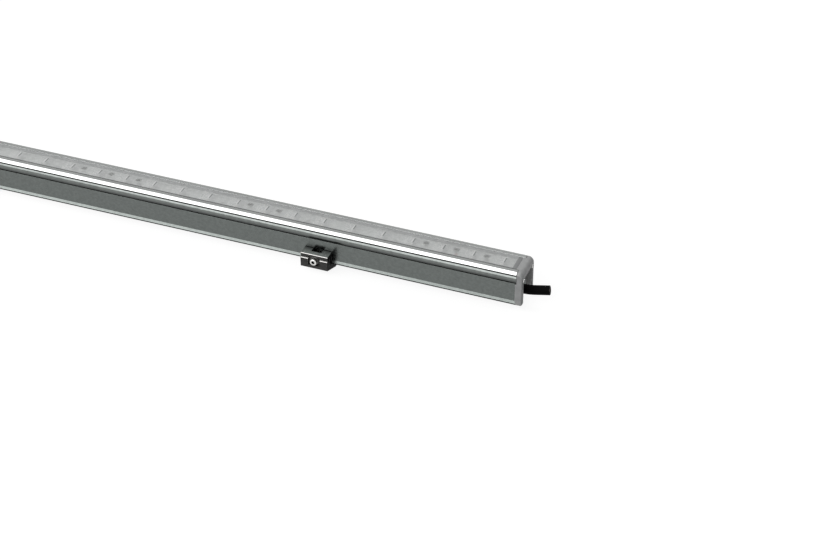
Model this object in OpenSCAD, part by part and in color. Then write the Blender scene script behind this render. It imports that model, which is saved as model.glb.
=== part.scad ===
// Outdoor wall washer light: a slim aluminium bar with a row of LEDs under a flush lens, an end cap
// on each end, a cable that leaves through the open lower channel, and two clamps that slide along
// the bar. X runs along the bar with the cable at +X, Y runs from the clamp screws to the back, and
// Z is up, towards the lens. The origin lies on the mounting plane between the two wall screws.

/* [Bar] */
// Length of the bar over both end caps
bar_len = 1200; // [1000:10:1400]
// Width of the bar over its lips
bar_w = 27.6; // [26.6:0.1:30]
// Height of the bar
bar_h = 29; // [28.5:0.1:32]
// Bevel along both top edges
edge_bevel = 2.1; // [1.2:0.1:2.6]
// Thickness of the side walls
wall_t = 1.9; // [1.5:0.1:2.3]
// How far the side walls stand back behind the lips
wall_recess = 1.5; // [1.3:0.1:1.7]
// Thickness of the web that carries the circuit boards
web_t = 1.8; // [1.4:0.1:2.4]

/* [Lips and beads] */
// Height of the bevelled lip along each lower edge
lip_h = 3; // [2.6:0.1:4.2]
// Height of the upright edge below the bevel of the lip
lip_edge = 1.2; // [0.8:0.1:1.8]
// Height of the rounded bead above each side wall
bead_h = 6.1; // [5:0.1:6.4]
// How far the middle of the bead stands out past its ends
bead_bulge = 0.8; // [0.4:0.1:1.1]
// Height and depth of the fine grooves above and below the bead
groove = 0.6; // [0.3:0.1:0.7]

/* [Lens] */
// Width of the ledge under each edge of the lens and its seal
lens_ledge = 1.2; // [1:0.1:1.5]
// Thickness of the lens
lens_t = 2.6; // [2:0.1:2.8]
// How far the lens lies below the rims
lens_drop = 0.2; // [0.1:0.1:0.5]
// Width of the seal on each side of the lens
seal_w = 0.7; // [0.5:0.1:1]

/* [LED boards] */
// Number of circuit boards in a row
board_count = 4; // [1:1:4]
// Number of LEDs on each board
leds_per_board = 12; // [6:1:14]
// Width of a circuit board
board_w = 14.4; // [13.4:0.1:14.6]
// Thickness of a circuit board
board_t = 1.6; // [1:0.1:1.8]
// Thickness of the heat pad under the boards
pad_t = 0.3; // [0.2:0.1:0.5]
// Side of an LED package
led_size = 3.5; // [2.8:0.1:4]
// Length of one optic along the bar
optic_l = 8; // [6:0.5:10]
// How far the optics stand back from the edges of the boards
optic_inset = 0.9; // [0.4:0.1:1.6]
// Height of one optic
optic_h = 3; // [2.6:0.1:3.6]
// Gap between the optics and the lens
optic_gap = 0.4; // [0.2:0.1:1]

/* [End caps] */
// Thickness of an end cap above the channel
cap_t = 4.7; // [4:0.1:6]
// Rounding of the outer edges of an end cap
cap_round = 2.4; // [1.5:0.1:2.8]
// Thickness of the gasket behind an end cap
gasket_t = 0.5; // [0.3:0.1:0.8]
// How far the cap's legs lap over the side walls
cap_lap = 0.8; // [0.5:0.1:2]
// Length of the sealing block at each end of the LED chamber
dam_l = 4.3; // [3:0.1:6]
// Diameter of the end cap screws
cap_screw_d = 2; // [1.6:0.1:2.4]
// Length of the end cap screws
cap_screw_l = 10; // [8:0.5:14]

/* [Cable] */
// Diameter of the cable
cable_d = 7.5; // [6:0.1:8]
// Distance of the cable gland's mouth from the outer face of the end cap
gland_setback = 30; // [26:1:40]
// Distance of the gland's axis below the web
gland_drop = 11.7; // [10.9:0.1:12.2]
// Wall of the gland nut at its flats
gland_nut_wall = 0.95; // [0.8:0.05:1.2]
// Length of the gland nut
gland_nut_l = 13; // [11:0.5:15]

/* [Clamps] */
// Distance of each clamp's middle from the end of the bar
clamp_inset = 167; // [150:1:400]
// Length of a clamp along the bar
clamp_l = 22.6; // [20:0.2:30]
// Height of the bar's bottom above the mounting plane
foot_h = 7.6; // [6.6:0.1:10]
// Width of the flat pad under a clamp
pad_w = 13; // [11:0.5:16]
// Thickness of the clamp's floor
floor_t = 3.6; // [3.2:0.1:4]
// Diameter of the wall screw hole
wall_hole_d = 4.5; // [4:0.1:5]
// Diameter of the wall screw's countersink
wall_sink_d = 9; // [8:0.1:10]
// Height of the jaw above the bottom of the bar
jaw_top = 10.6; // [10.2:0.1:12]
// How far the jaw reaches below the bottom of the bar
jaw_drop = 1.9; // [1:0.1:3]
// Thickness of the jaw's front plate
jaw_t = 3.9; // [3.5:0.1:5]
// How far the jaw opens
jaw_travel = 1.5; // [1:0.5:1.5]
// Thickness of the lug that the bolt pulls the jaw against
lug_t = 2.4; // [2:0.1:3]
// Gap between the clamp and the bar where they slide on each other
slide_gap = 0.2; // [0.1:0.05:0.25]

/* [Clamp bolts] */
// Diameter of the clamp bolt
bolt_d = 3; // [2.6:0.1:3.2]
// Height of the bolt above the bottom of the bar
bolt_z = 4.6; // [4.2:0.1:4.8]
// Diameter of the bolt head
bolt_head_d = 5.5; // [5:0.1:6]
// Height of the bolt head
bolt_head_h = 3; // [2.4:0.1:3.4]
// Diameter of the washer
washer_d = 7; // [6.4:0.1:7.6]
// Thickness of the washer
washer_t = 0.5; // [0.3:0.1:0.8]
// Width of the nut across its flats
nut_af = 5.5; // [5:0.1:6]
// Thickness of the nut
nut_t = 1.9; // [1.6:0.1:2.2]

/* [Hidden] */

// Smoothness of true curves and of the small round pieces
$fn = 48;
// How far a cut runs past the face that it opens
cut = 0.5;
// Clearance between pieces of the bar that fit into each other
fit = 0.1;
// Radial clearance of a screw in its hole
screw_fit = 0.05;

// Section of the bar, measured from its middle plane and from its bottom
half_w = bar_w / 2;
wall_y = half_w - wall_recess;
chan_y = wall_y - wall_t;
ledge_z = bar_h - lens_drop - lens_t;
web_top = ledge_z - optic_gap - optic_h - board_t - pad_t;
web_low = web_top - web_t;
bead_top = bar_h - edge_bevel - groove / 2 - groove;
bead_low = bead_top - bead_h;
bead_r = (pow(bead_h / 2, 2) + pow(bead_bulge, 2)) / (2 * bead_bulge);
board_fit = 0.2;
chamber_y = board_w / 2 + board_fit;
pocket_y = chamber_y + lens_ledge;
lens_w = 2 * (pocket_y - seal_w);

// Stations along the bar
cap_x = bar_len / 2 - cap_t;
leg_x = cap_x - gasket_t;
housing_len = 2 * leg_x;
boards_len = housing_len - 2 * dam_l - 2 * fit;
board_pitch = boards_len / board_count;
led_pitch = board_pitch / leds_per_board;
board_z = web_top + pad_t;
board_top = board_z + board_t;

// LED packages, optics and the small parts on the boards
led_h = 0.7;
led_dome_r = 1.2;
optic_w = board_w - 2 * optic_inset;
optic_edge = 1;
optic_room_share = 1.25;
optic_room_h = 2;
link_size = [6, 2.6, 1.5];
link_y_share = 0.25;
chip_size = [2.5, 4.4, 1.4];
chip_lead = [1, 0.5, 0.4];
chip_lead_count = 3;
chip_gap_shares = [1 / 6, 5 / 12, 2 / 3, 11 / 12];

// End cap screws
cap_head_d = 1.7 * cap_screw_d;
cap_head_h = 0.65 * cap_screw_d;
cap_head_proud = 0.3;
cap_screw_rise = 2.3;
cap_screw_y = (chamber_y + half_w) / 2;
cap_screw_z = web_low + cap_screw_rise;
cap_hole_fit = 0.2;
cross_w_share = 0.18;
cross_l_share = 0.6;
cross_h_share = 0.45;
gasket_inset = 0.3;

// Gland and the cable inside it
gland_x = bar_len / 2 - gland_setback;
gland_z = web_low - gland_drop;
gland_wall = 1.6;
gland_bore = cable_d + 2 * fit;
spout_d = gland_bore + 2 * gland_wall;
gland_nut_bore = cable_d + 4 * fit;
gland_nut_af = spout_d + 2 * fit + 2 * gland_nut_wall;
nut_face_t = 2;
seal_l = 4;
seal_x = gland_x - nut_face_t - seal_l;
spout_x = gland_x - gland_nut_l;

// Two wires that leave the cable and rise through the web, between the last two LEDs before the gland
wire_d = 1.8;
wire_y = 1.6;
wire_bend = 3.8;
wire_well = 6;
wire_bore = 2 * wire_y + wire_d + 2 * fit;
wire_x = floor((spout_x - wire_bend - wire_well) / led_pitch) * led_pitch;
solder_h = 0.8;
solder_d = 3;
sheath_end_x = wire_x + wire_bend;

// Body of the gland, whose flange is screwed to the web; the screws end inside the web
barrel_d = spout_d + 2 * fit + gland_wall;
barrel_x = wire_x - wire_well;
barrel_l = spout_x - barrel_x;
neck_w = wire_well + 2 * gland_wall;
flange_t = 3;
flange_y = chan_y - 2 * fit;
gland_screw_d = 1.8;
gland_screw_head = [2.8, 1.3];
gland_screw_edge = 0.1;
gland_screw_skin = 0.4;
gland_screw_l = flange_t + web_t - gland_screw_skin;
gland_screw_x = barrel_x + barrel_l / 2;
gland_screw_y = flange_y - gland_screw_edge - gland_screw_head[0] / 2;

// Route of the cable's middle line from the gland's mouth to its cut end, in millimetres
CORD_ROUTE = [
    [0, 0, 0], [5, 0, 0], [10, 0, -0.1], [15, 0, -0.4], [20, 0, -0.7], [25, 0, -0.9],
    [30, 0.1, -0.8], [34, 0.4, -0.4], [38, 0.8, 0.2], [42, 1.3, 0.8], [45, 1.7, 1.2], [47, 2, 1.5]
];
cord_sides = 12;

// Clamp section, measured from the middle plane of the bar and from its bottom
clamp_end = bar_len / 2 - clamp_inset;
rail_gap = 0.05;
nose_in = wall_y + slide_gap;
nose_t = 1.5;
nose_out = nose_in + nose_t;
nose_lift = 1.5 * slide_gap;
lug_gap = 0.4;
lug_in = nose_out + jaw_travel + lug_gap;
lug_out = lug_in + lug_t;
jaw_gap = 0.1;
plate_in = lug_out + jaw_gap;
plate_out = plate_in + jaw_t;
bridge_t = 3.3;
bridge_low = jaw_top - bridge_t;
lug_top = bridge_low - lug_gap;
jaw_step_h = 3.7;
jaw_step_d = 0.8;
jaw_bevel = 0.4;
lip_side = half_w + slide_gap;
ledge_in = chan_y + slide_gap;
ledge_bevel = 1;
floor_top = floor_t - foot_h;
rear_t = 4.1;
rear_out = nose_in + rear_t;
hook_top = 9.6;
hook_bevel = 1;
notch_w = 8.6;
notch_out = lug_in + 1.1;
pocket_side = 1.5;
pocket_rim = 0.5;
pocket_w = washer_d + 2 * pocket_side;
pocket_h = washer_d + 2 * pocket_rim;
pocket_d = 1.8;
nut_seat = 0.6;
bolt_clear = 0.2;
bolt_tip = 0.5;
socket_af_share = 0.46;
socket_d_share = 0.55;
washer_out = plate_out - pocket_d + washer_t;
nut_out = lug_in + nut_seat;
nut_in = nut_out - nut_t;

// Height of the lip's bevel at a distance y from the middle plane
function lip_z(y) = lip_edge + (half_w - y) / wall_recess * (lip_h - lip_edge);
// Height of the clamp's sloping underside at a distance y from the middle plane
function under_z(y) = (y - pad_w / 2) / (plate_out - pad_w / 2) * (foot_h - jaw_drop) - foot_h;

// Runs a section, drawn with Y to the right and Z up, along X from x0 for a length
module along_x(x0, length) {
    translate([x0, 0, 0]) rotate([90, 0, 90]) linear_extrude(length) children();
}

// Draws its children and their mirror image across the middle plane of the bar
module both_sides() {
    children();
    mirror([1, 0]) children();
}

module hex(af, length) {
    cylinder(d = af / cos(30), h = length, $fn = 6);
}

module raise() {
    translate([0, 0, foot_h]) children();
}

// Housing: one extrusion with an LED chamber above the web and an open channel below it
module side_wall_section() {
    polygon([
        [chan_y, 0], [half_w, 0], [half_w, lip_edge], [wall_y, lip_h],
        [wall_y, bead_low - groove], [wall_y - groove, bead_low - groove], [wall_y - groove, bead_top],
        [chan_y, bead_top]
    ]);
}

module bead_section() {
    intersection() {
        translate([half_w - bead_r, bead_low + bead_h / 2]) circle(bead_r, $fn = 96);
        translate([wall_y - groove - cut, bead_low]) square([wall_recess + groove + cut, bead_h]);
    }
}

module beam_section() {
    polygon([
        [0, web_low], [chan_y + cut, web_low], [wall_y - groove, web_low], [wall_y - groove, bead_top],
        [half_w - groove, bead_top], [half_w - groove, bead_top + groove], [half_w, bead_top + groove],
        [half_w, bar_h - edge_bevel], [half_w - edge_bevel, bar_h], [pocket_y, bar_h],
        [pocket_y, ledge_z], [chamber_y, ledge_z], [chamber_y, web_top], [0, web_top]
    ]);
}

module housing() {
    color("#8b8f8e") raise() difference() {
        along_x(-leg_x, housing_len) both_sides() {
            side_wall_section();
            bead_section();
            beam_section();
        }
        for (end = [-1, 1], side = [-1, 1])
            translate([end * (leg_x - cap_screw_l), side * cap_screw_y, cap_screw_z])
                rotate([0, end * 90, 0])
                    cylinder(d = cap_screw_d + 2 * screw_fit, h = cap_screw_l + cut);
        translate([wire_x, 0, web_low - cut]) cylinder(d = wire_well, h = web_t + 2 * cut);
        for (side = [-1, 1])
            translate([gland_screw_x, side * gland_screw_y, web_low - cut])
                cylinder(d = gland_screw_d + 2 * screw_fit, h = cut + gland_screw_l - flange_t + fit);
    }
}

// Lens and the two silicone seals that bed its long edges
module lens_cover() {
    color("#d9dede", 0.6) raise() along_x(fit - leg_x, housing_len - 2 * fit)
        translate([-lens_w / 2, ledge_z]) square([lens_w, lens_t]);
}

module lens_seal() {
    seal_h = lens_t - seal_w / 2;
    color("#4a4c4b") raise() for (side = [-1, 1])
        along_x(fit - leg_x, housing_len - 2 * fit) translate([side * (lens_w + seal_w) / 2, ledge_z]) {
            translate([-seal_w / 2, 0]) square([seal_w, seal_h]);
            translate([0, seal_h]) circle(d = seal_w);
        }
}

// Heat pad, circuit boards and what they carry
module heat_pad() {
    color("#b9c4cc") raise() difference() {
        translate([-boards_len / 2, -board_w / 2, web_top]) cube([boards_len, board_w, pad_t]);
        translate([wire_x, 0, web_top - cut]) cylinder(d = wire_well, h = pad_t + 2 * cut);
    }
}

module led_board(index) {
    x0 = (index - board_count / 2) * board_pitch;
    color("#eef0ee") raise() difference() {
        translate([x0 + fit, -board_w / 2, board_z]) cube([board_pitch - 2 * fit, board_w, board_t]);
        for (side = [-1, 1])
            translate([wire_x, side * wire_y, board_z - cut])
                cylinder(d = wire_d + 2 * fit, h = board_t + 2 * cut);
    }
}

// Places its children at each LED of one board
module at_leds(index) {
    x0 = (index - board_count / 2) * board_pitch;
    for (k = [0 : leds_per_board - 1])
        translate([x0 + (k + 1 / 2) * led_pitch, 0, foot_h + board_top]) children();
}

module led_package() {
    translate([-led_size / 2, -led_size / 2, 0]) cube([led_size, led_size, led_h]);
    translate([0, 0, led_h]) rotate_extrude() intersection() {
        circle(led_dome_r);
        square(led_dome_r);
    }
}

module leds(index) {
    color("#f4e9a8") at_leds(index) led_package();
}

// One optic: a clear block with a barrel-shaped top that spreads the light across the wall
module optic() {
    crown_h = optic_h - optic_edge;
    crown_r = (pow(optic_l / 2, 2) + pow(crown_h, 2)) / (2 * crown_h);
    room = led_size * optic_room_share;
    difference() {
        rotate([90, 0, 0]) translate([0, 0, -optic_w / 2]) linear_extrude(optic_w) {
            translate([-optic_l / 2, 0]) square([optic_l, optic_edge]);
            intersection() {
                translate([0, optic_h - crown_r]) circle(crown_r, $fn = 64);
                translate([-optic_l / 2, optic_edge]) square([optic_l, crown_h]);
            }
        }
        translate([-room / 2, -room / 2, -cut]) cube([room, room, optic_room_h + cut]);
    }
}

module optics(index) {
    color("#e6ebeb", 0.7) at_leds(index) optic();
}

module board_links() {
    joints = [for (k = [1 : 1 : board_count - 1]) (k - board_count / 2) * board_pitch];
    color("#f5f5f2") raise() for (x = joints, side = [-1, 1])
        translate([x - link_size[0] / 2, side * link_y_share * board_w - link_size[1] / 2, board_top])
            cube(link_size);
}

module driver_chip() {
    translate([-chip_size[0] / 2, -chip_size[1] / 2, 0]) cube(chip_size);
    for (k = [0 : chip_lead_count - 1], side = [-1, 1])
        translate([
            side * (chip_size[0] + chip_lead[0]) / 2 - chip_lead[0] / 2,
            (k - (chip_lead_count - 1) / 2) * chip_size[1] / chip_lead_count - chip_lead[1] / 2,
            0
        ]) cube(chip_lead);
}

module driver_chips() {
    color("#3a3a3a") raise() for (index = [0 : board_count - 1], share = chip_gap_shares)
        translate([
            (index - board_count / 2) * board_pitch + round(share * leds_per_board) * led_pitch,
            0,
            board_top
        ]) driver_chip();
}

// Silicone blocks that close the ends of the LED chamber
module chamber_seal(end) {
    x0 = end > 0 ? leg_x - dam_l : -leg_x;
    color("#6d706f") raise() translate([x0, fit - chamber_y, web_top])
        cube([dam_l, 2 * (chamber_y - fit), ledge_z - web_top]);
}

// Outline of the bar's end above the channel, drawn in by an inset
module end_outline(inset) {
    y = half_w - inset;
    top = bar_h - inset;
    polygon([
        [-y, web_low], [y, web_low], [y, top - edge_bevel], [y - edge_bevel, top],
        [edge_bevel - y, top], [-y, top - edge_bevel]
    ]);
}

module at_cap_screws() {
    for (side = [-1, 1])
        translate([bar_len / 2, side * cap_screw_y, cap_screw_z]) rotate([0, -90, 0]) children();
}

module cap_gasket() {
    color("#2c2d2d") raise() difference() {
        along_x(leg_x, gasket_t) end_outline(gasket_inset);
        at_cap_screws() cylinder(d = cap_screw_d + 2 * cap_hole_fit, h = cap_t + gasket_t + cut);
    }
}

// A plate that stands on two legs, with its outer edges rounded where the three profiles meet
module cap_blank() {
    depth = cap_t + gasket_t;
    intersection() {
        along_x(leg_x, depth) union() {
            end_outline(0);
            translate([-half_w, 0]) square([bar_w, web_low + cut]);
        }
        translate([0, half_w + cut, 0]) rotate([90, 0, 0]) linear_extrude(bar_w + 2 * cut) {
            translate([leg_x, 0]) square([depth - cap_round, bar_h]);
            translate([leg_x, cap_round]) square([depth, bar_h - 2 * cap_round]);
            translate([bar_len / 2 - cap_round, cap_round]) circle(cap_round);
            translate([bar_len / 2 - cap_round, bar_h - cap_round]) circle(cap_round);
        }
        linear_extrude(bar_h + cut) {
            translate([leg_x, -half_w]) square([depth - cap_round, bar_w]);
            translate([leg_x, cap_round - half_w]) square([depth, bar_w - 2 * cap_round]);
            for (side = [-1, 1])
                translate([bar_len / 2 - cap_round, side * (half_w - cap_round)]) circle(cap_round);
        }
    }
}

module end_cap() {
    lap_low = lip_h + fit;
    lap_h = bead_low - groove - 2 * fit - lip_h;
    color("#b9bbba") raise() difference() {
        union() {
            cap_blank();
            for (side = [-1, 1])
                translate([leg_x - cap_lap, side * (half_w + wall_y + fit) / 2, lap_low])
                    translate([0, (fit - wall_recess) / 2, 0])
                        cube([cap_lap + cut, wall_recess - fit, lap_h]);
        }
        translate([leg_x - cut, -chan_y, -cut])
            cube([cap_t + gasket_t + 2 * cut, 2 * chan_y, web_low + cut]);
        translate([leg_x - cut, -half_w - cut, web_low])
            cube([gasket_t + cut, bar_w + 2 * cut, bar_h - web_low + cut]);
        at_cap_screws() translate([0, 0, -cut]) {
            cylinder(d = cap_screw_d + 2 * cap_hole_fit, h = cap_t + gasket_t + 2 * cut);
            cylinder(d = cap_head_d + 2 * cap_hole_fit, h = cap_head_h - cap_head_proud + cut);
        }
    }
}

// Pan head screw with a cross recess, its head at the outer face and its shank running inwards
module cap_screw() {
    head_edge = cap_head_h / 3;
    cross_l = cap_head_d * cross_l_share;
    cross_w = cap_head_d * cross_w_share;
    cross_h = cap_head_h * cross_h_share;
    difference() {
        union() {
            translate([0, 0, -cap_head_proud]) {
                cylinder(d1 = cap_head_d - 2 * head_edge, d2 = cap_head_d, h = head_edge);
                translate([0, 0, head_edge]) cylinder(d = cap_head_d, h = cap_head_h - head_edge);
            }
            cylinder(d = cap_screw_d, h = cap_t + gasket_t + cap_screw_l - cut);
        }
        for (turn = [0, 90])
            rotate([0, 0, turn]) translate([-cross_l / 2, -cross_w / 2, -cap_head_proud - cut])
                cube([cross_l, cross_w, cross_h + cut]);
    }
}

module cap_screws() {
    color("#9a9a98") raise() at_cap_screws() cap_screw();
}

// Cable gland: a moulded body under the web, with a nut that squeezes a seal round the cable
module at_gland(x) {
    translate([x, 0, foot_h + gland_z]) rotate([0, 90, 0]) children();
}

module gland_body() {
    color("#2b2b2b") difference() {
        union() {
            at_gland(barrel_x) cylinder(d = barrel_d, h = barrel_l);
            at_gland(spout_x) cylinder(d = spout_d, h = seal_x - spout_x);
            translate([barrel_x, -neck_w / 2, foot_h + gland_z])
                cube([barrel_l, neck_w, web_low - gland_z]);
            translate([barrel_x, -flange_y, foot_h + web_low - flange_t])
                cube([barrel_l, 2 * flange_y, flange_t]);
        }
        at_gland(sheath_end_x) cylinder(d = gland_bore, h = bar_len);
        at_gland(wire_x) cylinder(d = wire_bore, h = wire_bend + wire_well);
        translate([wire_x, 0, foot_h + gland_z]) cylinder(d = wire_well, h = web_low);
        for (side = [-1, 1])
            translate([gland_screw_x, side * gland_screw_y, foot_h + web_low - flange_t - cut])
                cylinder(d = gland_screw_d + 2 * screw_fit, h = flange_t + 2 * cut);
    }
}

module gland_screws() {
    color("#9a9a98") for (side = [-1, 1])
        translate([gland_screw_x, side * gland_screw_y, foot_h + web_low - flange_t]) {
            cylinder(d = gland_screw_d, h = gland_screw_l);
            translate([0, 0, -gland_screw_head[1]])
                cylinder(d = gland_screw_head[0], h = gland_screw_head[1]);
        }
}

module gland_seal() {
    color("#3f4040") at_gland(seal_x) difference() {
        cylinder(d = spout_d, h = seal_l);
        translate([0, 0, -cut]) cylinder(d = cable_d, h = seal_l + 2 * cut);
    }
}

module gland_nut() {
    cone_l = nut_face_t;
    color("#222222") at_gland(gland_x - gland_nut_l) difference() {
        intersection() {
            hex(gland_nut_af, gland_nut_l);
            union() {
                cylinder(d = gland_nut_af / cos(30), h = gland_nut_l - cone_l);
                translate([0, 0, gland_nut_l - cone_l])
                    cylinder(d1 = gland_nut_af / cos(30), d2 = gland_nut_af - cone_l, h = cone_l);
            }
        }
        translate([0, 0, -cut]) cylinder(d = spout_d + 2 * fit, h = gland_nut_l - nut_face_t + cut);
        cylinder(d = gland_nut_bore, h = gland_nut_l + cut);
    }
}

// Sheathed end of the cable inside the gland
module inner_cable() {
    color("#1a1a1a") at_gland(sheath_end_x) cylinder(d = cable_d, h = gland_x - sheath_end_x);
}

// Two wires that turn up through the web and are soldered on the last board
module lead_wires() {
    rise = board_top - gland_z - wire_bend;
    color("#a33a2c") for (side = [-1, 1])
        translate([wire_x, side * wire_y, foot_h + gland_z]) {
            translate([wire_bend, 0, wire_bend]) rotate([-90, 0, 0]) rotate_extrude(angle = 90, start = 90)
                translate([wire_bend, 0]) circle(d = wire_d);
            translate([0, 0, wire_bend]) cylinder(d = wire_d, h = rise + solder_h);
            translate([0, 0, wire_bend + rise]) cylinder(d1 = solder_d, d2 = wire_d, h = solder_h);
        }
}

// Cable: rings of points swept along the route and joined by flat faces
function cord_dir(i) =
    let (d = CORD_ROUTE[min(i + 1, len(CORD_ROUTE) - 1)] - CORD_ROUTE[max(i - 1, 0)])
    d / norm(d);

function cord_ring(i) =
    let (d = cord_dir(i), side = cross([0, 0, 1], d), s = side / norm(side), up = cross(d, s))
    [for (k = [0 : cord_sides - 1])
        let (turn = (k + 1 / 2) * 360 / cord_sides)
        CORD_ROUTE[i] + cable_d / 2 * (cos(turn) * s + sin(turn) * up)];

module power_cord() {
    rings = len(CORD_ROUTE);
    points = [for (i = [0 : rings - 1]) each cord_ring(i)];
    sides = [for (i = [0 : rings - 2], k = [0 : cord_sides - 1])
        let (a = i * cord_sides + k, b = i * cord_sides + (k + 1) % cord_sides)
        [a, a + cord_sides, b + cord_sides, b]];
    first = [for (k = [0 : cord_sides - 1]) k];
    last = [for (k = [cord_sides - 1 : -1 : 0]) (rings - 1) * cord_sides + k];
    color("#111111") translate([gland_x, 0, foot_h + gland_z])
        polyhedron(points, concat(sides, [first, last]));
}

// Clamp base: floor with the wall screw hole, ledges under the lips, a fixed hook behind the bar and
// a lug in front that holds the nut
module clamp_base_section() {
    polygon([
        [-pad_w / 2, -foot_h], [pad_w / 2, -foot_h], [rear_out, under_z(rear_out)],
        [rear_out, hook_top - hook_bevel], [rear_out - hook_bevel, hook_top], [nose_in, hook_top],
        [nose_in, lip_z(nose_in) + nose_lift], [lip_side, lip_z(lip_side) + nose_lift], [lip_side, -rail_gap],
        [ledge_in, -rail_gap], [ledge_in, floor_top + ledge_bevel], [ledge_in - ledge_bevel, floor_top],
        [ledge_bevel - ledge_in, floor_top], [-ledge_in, floor_top + ledge_bevel], [-ledge_in, -rail_gap],
        [-lug_in, -rail_gap], [-lug_in, lug_top], [-lug_out, lug_top], [-lug_out, under_z(lug_out)]
    ]);
}

// Places its children at the bolt with Z running outwards, out of the jaw
module at_bolt(y) {
    translate([0, -y, foot_h + bolt_z]) rotate([90, 0, 0]) children();
}

module clamp_base() {
    sink_h = (wall_sink_d - wall_hole_d) / 2;
    color("#3b3937") difference() {
        raise() along_x(-clamp_l / 2, clamp_l) clamp_base_section();
        translate([0, 0, -cut]) cylinder(d = wall_hole_d, h = foot_h);
        translate([0, 0, floor_t - sink_h]) cylinder(d1 = wall_hole_d, d2 = wall_sink_d, h = sink_h);
        at_bolt(lug_in - cut) cylinder(d = bolt_d + 2 * bolt_clear, h = lug_t + 2 * cut);
        at_bolt(lug_in - cut) rotate([0, 0, 30]) hex(nut_af + 2 * fit, nut_seat + cut);
    }
}

// Clamp jaw: front plate with a pocket for the bolt head, and a bridge over the lug with two noses
// that reach down behind the lip
module clamp_jaw_section() {
    step_z = jaw_top - jaw_step_h;
    step_y = plate_out - jaw_step_d;
    polygon([
        [-plate_out, under_z(plate_out) + jaw_bevel], [-plate_out, step_z - jaw_bevel],
        [jaw_bevel - plate_out, step_z], [-step_y, step_z], [-step_y, jaw_top - jaw_bevel],
        [jaw_bevel - step_y, jaw_top], [-nose_in, jaw_top], [-nose_in, lip_z(nose_in) + nose_lift],
        [-nose_out, lip_z(nose_out) + nose_lift], [-nose_out, bridge_low], [-plate_in, bridge_low],
        [-plate_in, under_z(plate_in)], [jaw_bevel - plate_out, under_z(plate_out - jaw_bevel)]
    ]);
}

module clamp_jaw() {
    color("#45403c") difference() {
        raise() along_x(-clamp_l / 2, clamp_l) clamp_jaw_section();
        translate([-notch_w / 2, -notch_out, foot_h - jaw_drop])
            cube([notch_w, notch_out, jaw_top + jaw_drop + cut]);
        translate([-pocket_w / 2, -plate_out - cut, foot_h + bolt_z - pocket_h / 2])
            cube([pocket_w, pocket_d + cut, pocket_h]);
        at_bolt(plate_in - cut) cylinder(d = bolt_d + 2 * bolt_clear, h = jaw_t + 2 * cut);
    }
}

module clamp_washer() {
    color("#c8c8c4") at_bolt(washer_out - washer_t) difference() {
        cylinder(d = washer_d, h = washer_t);
        translate([0, 0, -cut]) cylinder(d = bolt_d + 2 * fit, h = washer_t + 2 * cut);
    }
}

// Socket head bolt
module clamp_bolt() {
    head_edge = bolt_head_h / 10;
    tip_y = nut_in - bolt_tip;
    color("#d0d0cc") difference() {
        union() {
            at_bolt(washer_out) cylinder(d = bolt_head_d, h = bolt_head_h - head_edge);
            at_bolt(washer_out + bolt_head_h - head_edge)
                cylinder(d1 = bolt_head_d, d2 = bolt_head_d - 2 * head_edge, h = head_edge);
            at_bolt(tip_y) cylinder(d = bolt_d, h = washer_out - tip_y);
        }
        at_bolt(washer_out + bolt_head_h * (1 - socket_d_share))
            hex(bolt_head_d * socket_af_share, bolt_head_h);
    }
}

module clamp_nut() {
    color("#d0d0cc") at_bolt(nut_in) difference() {
        rotate([0, 0, 30]) hex(nut_af, nut_t);
        translate([0, 0, -cut]) cylinder(d = bolt_d + 2 * screw_fit, h = nut_t + 2 * cut);
    }
}

// Each piece at its place in the light
module at_left() {
    translate([-clamp_end, 0, 0]) children();
}

module at_right() {
    translate([clamp_end, 0, 0]) children();
}

housing();
lens_cover();
lens_seal();
heat_pad();
led_board(0);  // led_board_1
led_board(1);  // led_board_2
led_board(2);  // led_board_3
led_board(3);  // led_board_4
leds(0);  // leds_1
leds(1);  // leds_2
leds(2);  // leds_3
leds(3);  // leds_4
optics(0);  // optics_1
optics(1);  // optics_2
optics(2);  // optics_3
optics(3);  // optics_4
board_links();
driver_chips();
chamber_seal(-1);  // chamber_seal_left
chamber_seal(1);  // chamber_seal_right
mirror([1, 0, 0]) cap_gasket();  // cap_gasket_left
cap_gasket();  // cap_gasket_right
mirror([1, 0, 0]) end_cap();  // end_cap_left
end_cap();  // end_cap_right
mirror([1, 0, 0]) cap_screws();  // cap_screws_left
cap_screws();  // cap_screws_right
gland_body();
gland_screws();
gland_seal();
gland_nut();
inner_cable();
lead_wires();
power_cord();
at_left() clamp_base();  // clamp_base_left
at_left() clamp_jaw();  // clamp_jaw_left
at_left() clamp_washer();  // clamp_washer_left
at_left() clamp_bolt();  // clamp_bolt_left
at_left() clamp_nut();  // clamp_nut_left
at_right() clamp_base();  // clamp_base_right
at_right() clamp_jaw();  // clamp_jaw_right
at_right() clamp_washer();  // clamp_washer_right
at_right() clamp_bolt();  // clamp_bolt_right
at_right() clamp_nut();  // clamp_nut_right
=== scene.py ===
import math

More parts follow.
